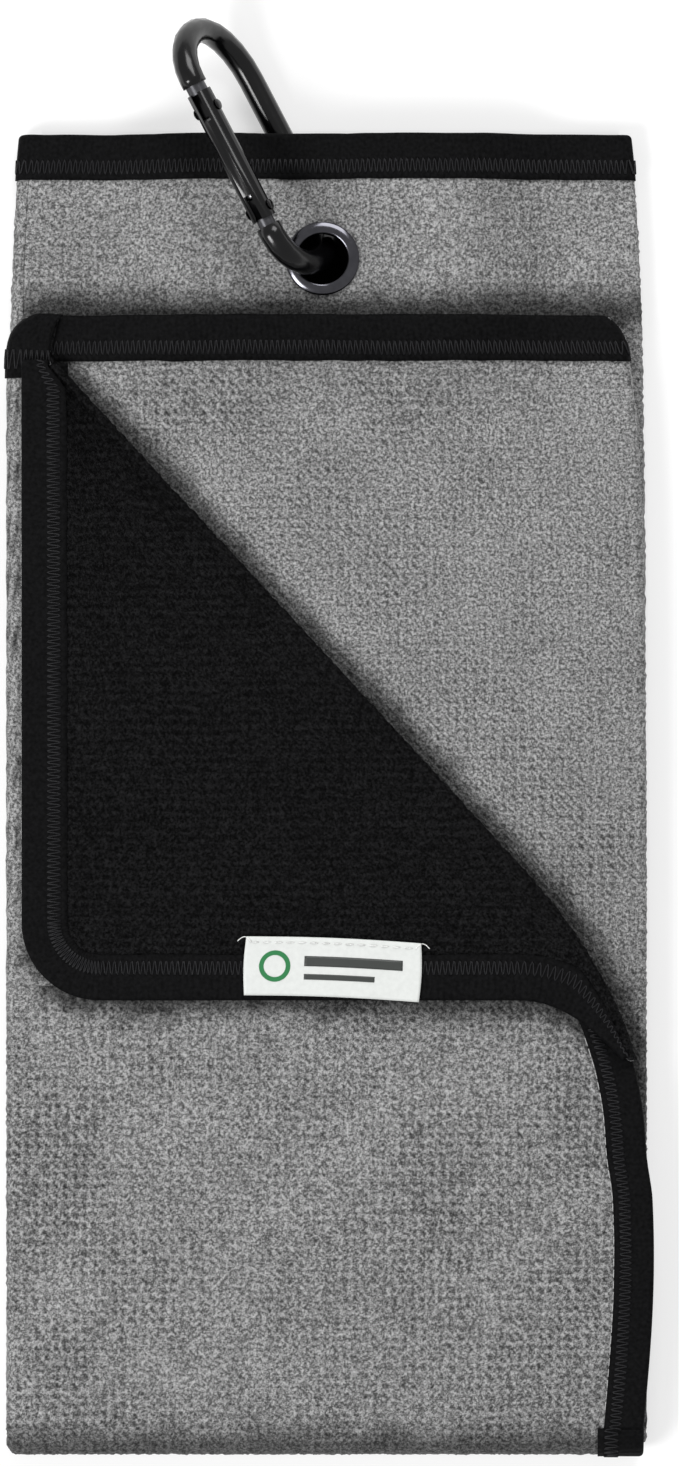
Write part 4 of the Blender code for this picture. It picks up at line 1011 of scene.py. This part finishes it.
def end_surface(half, edge):
    """Surroundings of the taped end of a half, which follows the section through its layers. The
    front half's tape is broader at its free end, on the left."""
    def surface(along, inward, offset):
        x, level, side, up = spiral(along)
        wave = (0.0003 * noise(along, 0.0 * along, 0.012, 51)
                + 0.00012 * noise(along, 0.0 * along, 0.004, 52))
        broad = 1.0
        if half == "front":
            broad = 1.0 + 0.42 * smoothstep((along - RUN_OUTER + 0.007) / 0.004)
        return place(half, x + side * offset, level + up * offset,
                     edge - inward * broad - wave * 0.6 - 0.0002)
    return surface


def corner_edge():
    """Stations along the turned corner's free edge: left side, rounded corner, bottom and tail."""
    left_y = np.linspace(ROLL_TOP[1] + 0.0012, CORNER_EDGE_Y + CORNER_RADIUS, 200)
    turn = np.linspace(np.pi, 1.5 * np.pi, 60)[1:]
    centre = (CORNER_EDGE_X + CORNER_RADIUS, CORNER_EDGE_Y + CORNER_RADIUS)
    bottom_x = np.linspace(centre[0], float(roll_x(CORNER_FOOT)) - 0.0006, 300)[1:]
    x = np.concatenate([np.full(200, CORNER_EDGE_X), centre[0] + CORNER_RADIUS * np.cos(turn),
                        bottom_x])
    y = np.concatenate([left_y, centre[1] + CORNER_RADIUS * np.sin(turn),
                        CORNER_EDGE_Y + corner_sink(bottom_x)])
    distance = np.concatenate([[0.0], np.cumsum(np.hypot(np.diff(x), np.diff(y)))])
    return distance, x, y


def corner_surface(along, inward, offset):
    """Surroundings of the turned corner's edge, narrower where the roll leaves less room."""
    distance, *edge = corner_edge()
    x, y = (np.interp(along, distance, line) for line in edge)
    ahead, upward = (np.interp(along + 0.0004, distance, line)
                     - np.interp(along - 0.0004, distance, line) for line in edge)
    size = np.hypot(ahead, upward)
    room = np.clip((roll_x(y) - x) * 0.9, 0.0008, TAPE_WIDTH)
    reach = np.where(inward > 0, inward * room / TAPE_WIDTH, inward)
    return place("front", x - upward / size * reach, LEVEL_CORNER + offset, y + ahead / size * reach)


def build_bindings():
    """Tape round the whole sheet, in the lengths that each half and the fold carry."""
    front_end = RUN_OUTER + float(roll_x(FRONT_EDGE)) - LEFT_BEND
    add_tape("rear_end_tape", end_surface("rear", REAR_EDGE), RUN_END, "towel", "rear_end_binding",
             faces=(1, -1))
    add_tape("front_end_tape", end_surface("front", FRONT_EDGE), front_end, "front_half",
             "front_end_binding", faces=(1, -1))
    add_tape("corner_tape", corner_surface, corner_edge()[0][-1], "front_half", "corner_binding",
             step=0.0007)

    start = FOLD_Y - 0.0003
    under = TAPE_WIDTH + 0.0006
    rear, front = REAR_EDGE - under - start, FRONT_EDGE - under - start

    def side_surface(half, edge, side, level, width=1.0):
        def surface(along, inward, offset):
            y = start + along
            return place(half, edge(y) + side * inward * width, level + offset, y)
        return surface

    def fold_surface(edge, side, level):
        def surface(along, inward, offset):
            return fold_place(edge + side * inward, level + offset, along / level)
        return surface

    for name, edge, side, level in (
            ("inner_edge_tape", lambda y: INNER_FLAP_EDGE + 0 * y, 1, LEVEL_INNER),
            ("outer_edge_tape", lambda y: OUTER_FLAP_EDGE + 0 * y, -1, LEVEL_OUTER)):
        node = name.replace("tape", "binding")
        add_tape(name + "_rear", side_surface("rear", edge, side, level), rear, "towel", node + "_rear")
        add_tape(name + "_fold", fold_surface(float(edge(0.0)), side, level), np.pi * level, None,
                 node + "_fold", blend=level, step=0.0005)
        if side > 0:
            add_tape(name + "_front", side_surface("front", edge, side, level), front, "front_half",
                     node + "_front", faces=())
        else:
            bowed = side_surface("front", flap_end, side, level, OUTER_TAPE_NARROWING)
            add_tape(name + "_front", bowed, OUTER_TAPE_END - start, "front_half", node + "_front")


def build_edge_stitches():
    """Pale straight stitches along the right-hand tape's inner edge, each a low arch, and a pale
    thread that shows beside the turned corner's left edge."""
    t = np.linspace(0.0, 1.0, 7)
    lines = []
    for first in np.arange(FOLD_Y + 0.004, -0.0665, DASH_PITCH):
        along = first + DASH * t
        inner = flap_end(along) - TAPE_WIDTH * OUTER_TAPE_NARROWING - 0.0001
        arch = 0.00010 * np.sin(np.pi * t)
        lines.append(place("front", inner, LEVEL_OUTER + TAPE_HALF + arch, along))
    t = np.arange(0.0, 1.0, 0.0025)
    left_y = CORNER_EDGE_Y + CORNER_RADIUS * 0.6 + t * (ROLL_TOP[1] - 0.012 - CORNER_EDGE_Y)
    left_x = corner_x(left_y) - TAPE_REACH * 1.15 + 0.00006 * noise(left_y, 0 * t, 0.0009, 3)
    lines.append(place("front", left_x, LEVEL_CORNER - TAPE_HALF * 0.6, left_y))
    add_piece("edge_stitches", tube("edge_stitches", lines, FINE_THREAD), "front_half", "grey_waffle",
              material("pale sewing thread"))


# ---------------------------------------------------------------- label
def label_place(u, v, height):
    """Point of the label: u and v in its own plane from its centre, its edges slightly bowed."""
    bow = 0.00035 * np.cos(np.pi * v / LABEL_SIZE[1]) - 0.00035
    x = u * (1.0 + 2 * bow / LABEL_SIZE[0])
    y = v + 0.0004 * np.cos(np.pi * u / LABEL_SIZE[0])
    cosine, sine = math.cos(LABEL_TURN), math.sin(LABEL_TURN)
    wave = 0.00010 * np.sin(np.pi * u / 0.0115 + 0.6)
    return np.stack(np.broadcast_arrays(LABEL_CENTRE[0] + x * cosine - y * sine,
                                        LABEL_CENTRE[1] + x * sine + y * cosine,
                                        LABEL_LOW[2] + height + wave), axis=-1)


def build_label():
    """Woven label: a satin ribbon with a plain ring and two bars, sewn on with white stitches."""
    width, height = LABEL_SIZE
    thickness = LABEL_HIGH[2] - LABEL_LOW[2]
    u, v = steps(-width / 2, width / 2, 0.0006), steps(-height / 2, height / 2, 0.0006)
    points = label_place(u[None, :], v[:, None], thickness / 2)
    uv = np.stack(np.broadcast_arrays(u[None, :], v[:, None]), axis=-1)
    mesh, _ = shell("woven_label", points, thickness, uv=uv, ratio=2)
    add_piece("woven_label", mesh, "front_half", "satin_label", material("white satin ribbon"),
              replaces=("label",))

    # The ring is a flat rectangle carried round a circle, joined to itself both ways.
    top = thickness + EMBROIDERY / 2
    turn = np.linspace(0.0, 2 * np.pi, RING_SIDES, endpoint=False)[:, None]
    radius = np.array([RING_OUTER, RING_OUTER, RING_INNER, RING_INNER])
    rise = top + EMBROIDERY / 2 * np.array([-1, 1, 1, -1])
    points = label_place(RING_MIDDLE + radius * np.cos(turn), radius * np.sin(turn), rise)
    ring = mesh_from("label_ring", points.reshape(-1, 3),
                     [grid_faces(wrapped(*points.shape[:2]))[:, ::-1]], smooth=False)
    add_piece("label_ring", ring, "front_half", "satin_label", material("green satin embroidery"))
    for index, (middle, thick, left, right) in enumerate(BARS):
        name = f"label_bar_{index + 1}"
        bar_v = (middle + np.linspace(-thick / 2, thick / 2, 5))[:, None]
        points = label_place(np.linspace(left, right, 41)[None, :], bar_v, top)
        add_piece(name, shell(name, points, EMBROIDERY, ratio=2)[0], "front_half", "satin_label",
                  material("charcoal satin embroidery"))

    # A row of straight stitches under the top edge, and a loose tail at each end of it.
    t = np.linspace(0.0, 1.0, 7)
    row = height / 2 - 0.0012
    lines = [label_place(first + DASH * t, row, thickness + 0.00022 * np.sin(np.pi * t))
             for first in np.arange(-width / 2 + 0.0012, width / 2 - 0.0014, 0.0026)]
    t = np.linspace(0.0, 1.0, 15)
    for side in (-1, 1):
        lines.append(label_place(side * (width / 2 - 0.0012 + 0.0030 * t), row + 0.0011 * np.sin(3 * t),
                                 thickness + 0.0002 - 0.0006 * smoothstep(t * 1.4)))
    add_piece("label_stitches", tube("label_stitches", lines, LABEL_THREAD), "front_half",
              "satin_label", material("white sewing thread"))


# ---------------------------------------------------------------- eyelet and clip
def turned(name, profile):
    """Solid of revolution about the eyelet's axis: a closed outline of (radius, height) carried
    round, its corners cut three times at a quarter of each side."""
    sides = bpy.context.scene.towel_metal.turned_sides
    outline = np.array(profile)
    for _ in range(3):
        ahead = np.roll(outline, -1, axis=0)
        cut = [outline * 0.75 + ahead * 0.25, outline * 0.25 + ahead * 0.75]
        outline = np.stack(cut, axis=1).reshape(-1, 2)
    turn = np.linspace(0.0, 2 * np.pi, sides, endpoint=False)[:, None]
    radius, height = outline.T
    points = np.stack(np.broadcast_arrays(EYELET_X + radius * np.cos(turn),
                                          EYELET_Y + radius * np.sin(turn), EYELET_Z + height), axis=-1)
    mesh = mesh_from(name, points.reshape(-1, 3), [grid_faces(wrapped(sides, len(radius)))])
    rework(mesh, lambda work: bmesh.ops.recalc_face_normals(work, faces=work.faces))
    return mesh


def build_eyelet():
    """Rolled eyelet and its washer in dark plated brass."""
    bore, outer = EYELET_BORE, EYELET_BORE + EYELET_WALL
    flange, height = EYELET_FLANGE, EYELET_FLANGE_HEIGHT
    top = PINCHED_HALF + EYELET_CLEARANCE
    foot = -top - height * 0.5
    inner = outer + EYELET_CLEARANCE / 2
    for name, node, profile in (
            ("eyelet_ring", "eyelet",
             [(bore, top + height * 0.5), (bore + height * 0.5, top + height),
              (flange - height * 1.3, top + height), (flange, top + height * 0.5), (flange, top),
              (outer, top), (outer, foot), (bore, foot)]),
            ("eyelet_back_ring", "eyelet_washer",
             [(inner, -top), (flange, -top), (flange, -top - height * 0.4),
              (flange - height * 1.3, -top - height * 0.75), (inner, -top - height * 0.75)])):
        add_piece(name, turned(name, profile), "towel", "gunmetal", material("gunmetal plated brass"),
                  replaces=(node,))


def smooth_copy(node, name, body, slot, look):
    """A copy of a node, its loose triangles merged into flat faces of up to four corners, with
    smooth sides and crisp edges."""
    def merge(work):
        bmesh.ops.remove_doubles(work, verts=work.verts, dist=1e-6)
        bmesh.ops.dissolve_limit(work, angle_limit=math.radians(1.0), verts=work.verts,
                                 edges=work.edges)
        bmesh.ops.triangulate(work, faces=[face for face in work.faces if len(face.verts) > 4])

    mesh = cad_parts[node].data.copy()
    mesh.name = name
    mesh.materials.clear()
    rework(mesh, merge)
    mesh.polygons.foreach_set("use_smooth", np.ones(len(mesh.polygons), bool))
    mesh.set_sharp_from_angle(angle=bpy.context.scene.towel_metal.smooth_angle)
    add_piece(name, mesh, body, slot, look, replaces=(node,))


def clip_place(across, along, height):
    """Point of the ring's own plane: tilted about its long axis, then leaned about the eyelet's."""
    side = CLIP_SHIFT + across * math.cos(CLIP_TILT) + height * math.sin(CLIP_TILT)
    up = CLIP_Z - across * math.sin(CLIP_TILT) + height * math.cos(CLIP_TILT)
    cosine, sine = math.cos(CLIP_LEAN), math.sin(CLIP_LEAN)
    return np.stack([EYELET_X + side * cosine - along * sine,
                     EYELET_Y + side * sine + along * cosine, up], -1)


def build_clip():
    """Snap clip: bent bar, gate, pins, plunger and spring, and the two flattened necks of the bar
    that lie inside the gate's ends."""
    black, steel = material("black anodised aluminium"), material("bare spring steel")
    for node, name, body, slot, look in (
            ("clip_body", "clip_bar", "clip", "black_anodised", black),
            ("clip_gate", "clip_gate_arm", "gate", "black_anodised", black),
            ("hinge_pin", "clip_hinge_pin", "clip", "bare_steel", black),
            ("latch_pin", "clip_latch_pin", "gate", "bare_steel", black),
            ("spring_plunger", "clip_plunger", "plunger", "bare_steel", steel),
            ("gate_spring", "clip_spring", "gate", "bare_steel", steel)):
        smooth_copy(node, name, body, slot, look)
    for name, start, end, radius in NECKS:
        line = clip_place(np.full(12, -CLIP_SPAN / 2), np.linspace(start, end, 12), np.zeros(12))
        add_piece(name, tube(name, [line], radius, 40), "clip", "black_anodised",
                  material("dark flattened bar"))


# ---------------------------------------------------------------- stage
def build_stage():
    """White floor with a painted shadow under the towel, white surroundings, two soft lights and a
    camera that looks straight down.
    """
    studio = bpy.context.scene.towel_studio
    scene = bpy.context.scene
    scene.view_settings.view_transform = "Standard"
    corners = FLOOR_HALF * np.array([(-1, -1, 0), (1, -1, 0), (1, 1, 0), (-1, 1, 0)])
    floor_mesh = mesh_from("studio_floor", corners, [np.array([[0, 1, 2, 3]])], smooth=False)
    floor = bpy.data.objects.new("studio_floor", floor_mesh)
    scene.collection.objects.link(floor)
    # The floor glows evenly white, but not where the towel lies on it: there a painted shadow makes it
    # dark, so that the eyelet's hole shows as shade. The mask is a rectangle, the larger of two scaled
    # distances.
    paint, tree, shader = new_material("back-lit white acrylic", Roughness=0.9,
                                       Specular_IOR_Level=0.05, Emission_Strength=1.0)
    place_of = add_node(tree, "ShaderNodeTexCoord")
    centred = add_node(tree, "ShaderNodeMapping",
                       {"Location": (0.0, 0.010, 0.0), "Scale": (15.5, 7.3, 0.0)},
                       {"Vector": place_of.outputs["Object"]})
    distances = add_node(tree, "ShaderNodeVectorMath", links={0: centred.outputs[0]},
                         operation="ABSOLUTE")
    sides = add_node(tree, "ShaderNodeSeparateXYZ", links={0: distances.outputs[0]})
    beyond = add_node(tree, "ShaderNodeMath", links={0: sides.outputs[0], 1: sides.outputs[1]},
                      operation="MAXIMUM")
    # Under the towel the floor is painted as shadow: nearly black and without glow.
    for socket, covered, bare in (("Base Color", shade(0.004), linear("#bcbcbc")),
                                  ("Emission Color", shade(0.0), shade(0.52))):
        paint_tone = add_node(tree, "ShaderNodeValToRGB", links={"Fac": beyond.outputs[0]},
                              stops=((0.90, covered), (0.98, bare)))
        tree.links.new(paint_tone.outputs[0], shader.inputs[socket])
    floor_mesh.materials.append(paint)

    world = bpy.data.worlds.new("white_studio")
    scene.world = world
    world.use_nodes = True
    back = world.node_tree.nodes["Background"]
    back.inputs["Color"].default_value = (1.0, 1.0, 1.0, 1.0)
    back.inputs["Strength"].default_value = studio.sky

    for name, power, direction, elevation, distance, width in LAMPS:
        lamp = bpy.data.lights.new(name, "AREA")
        lamp.energy = getattr(studio, power)
        lamp.size = width
        light = bpy.data.objects.new(name, lamp)
        scene.collection.objects.link(light)
        turn, rise = math.radians(direction), math.radians(elevation)
        light.location = (distance * math.cos(rise) * math.cos(turn),
                          distance * math.cos(rise) * math.sin(turn), distance * math.sin(rise))
        light.rotation_euler = (math.pi / 2 - rise, 0.0, turn + math.pi / 2)

    camera = bpy.data.cameras.new("camera")
    camera.sensor_fit = "VERTICAL"
    camera.sensor_height = 36.0
    camera.lens = camera.sensor_height * studio.camera_height / studio.view_height
    holder = bpy.data.objects.new("camera", camera)
    scene.collection.objects.link(holder)
    holder.location = (*CAMERA_PLACE, studio.camera_height)
    scene.camera = holder


# ---------------------------------------------------------------- operators and panel
class RearClothOperator(bpy.types.Operator):
    """Make the three layers of the rear half"""
    bl_idname = "towel.rear_cloth"
    bl_label = "Rear cloth"

    def execute(self, context):
        build_rear_cloth()
        return {"FINISHED"}


class FoldClothOperator(bpy.types.Operator):
    """Make the cloth of the bottom fold"""
    bl_idname = "towel.fold_cloth"
    bl_label = "Bottom fold"

    def execute(self, context):
        build_fold_cloth()
        return {"FINISHED"}


class FrontClothOperator(bpy.types.Operator):
    """Make the layers of the front half and its turned corner"""
    bl_idname = "towel.front_cloth"
    bl_label = "Front cloth"

    def execute(self, context):
        build_front_cloth()
        build_turned_corner()
        return {"FINISHED"}


class BindingOperator(bpy.types.Operator):
    """Make the binding tape and its stitches"""
    bl_idname = "towel.bindings"
    bl_label = "Bindings"

    def execute(self, context):
        build_bindings()
        build_edge_stitches()
        return {"FINISHED"}


class LabelOperator(bpy.types.Operator):
    """Make the sewn label"""
    bl_idname = "towel.label"
    bl_label = "Label"

    def execute(self, context):
        build_label()
        return {"FINISHED"}


class MetalOperator(bpy.types.Operator):
    """Make the eyelet and the snap clip"""
    bl_idname = "towel.metal"
    bl_label = "Eyelet and clip"

    def execute(self, context):
        build_eyelet()
        build_clip()
        return {"FINISHED"}


class StageOperator(bpy.types.Operator):
    """Make the floor, the lights and the camera"""
    bl_idname = "towel.stage"
    bl_label = "Stage"

    def execute(self, context):
        build_stage()
        return {"FINISHED"}


OPERATORS = (StageOperator, RearClothOperator, FoldClothOperator, FrontClothOperator,
             BindingOperator, LabelOperator, MetalOperator)
SETTINGS = {"towel_cloth": ClothSettings, "towel_trim": TrimSettings, "towel_metal": MetalSettings,
            "towel_studio": StudioSettings}


class TowelPanel(bpy.types.Panel):
    """Settings and buttons of the folded towel"""
    bl_idname = "VIEW3D_PT_towel"
    bl_label = "Folded towel"
    bl_space_type = "VIEW_3D"
    bl_region_type = "UI"
    bl_category = "Towel"

    def draw(self, context):
        for group in SETTINGS:
            settings = getattr(context.scene, group)
            box = self.layout.box()
            for key in settings.__annotations__:
                box.prop(settings, key)
        for operator in OPERATORS:
            self.layout.operator(operator.bl_idname)


def register():
    """Register the settings, the operators and the panel."""
    for group in SETTINGS.values():
        bpy.utils.register_class(group)
    for name, group in SETTINGS.items():
        setattr(bpy.types.Scene, name, PointerProperty(type=group))
    for operator in OPERATORS:
        bpy.utils.register_class(operator)
    bpy.utils.register_class(TowelPanel)


def unregister():
    """Take everything back that register added."""
    bpy.utils.unregister_class(TowelPanel)
    for operator in reversed(OPERATORS):
        bpy.utils.unregister_class(operator)
    for name in SETTINGS:
        delattr(bpy.types.Scene, name)
    for group in reversed(SETTINGS.values()):
        bpy.utils.unregister_class(group)


def main():
    """Make every piece in order."""
    register()
    bpy.ops.towel.stage()
    bpy.ops.towel.rear_cloth()
    bpy.ops.towel.fold_cloth()
    bpy.ops.towel.front_cloth()
    bpy.ops.towel.bindings()
    bpy.ops.towel.label()
    bpy.ops.towel.metal()
    bpy.context.view_layer.update()


if __name__ == "__main__":
    main()
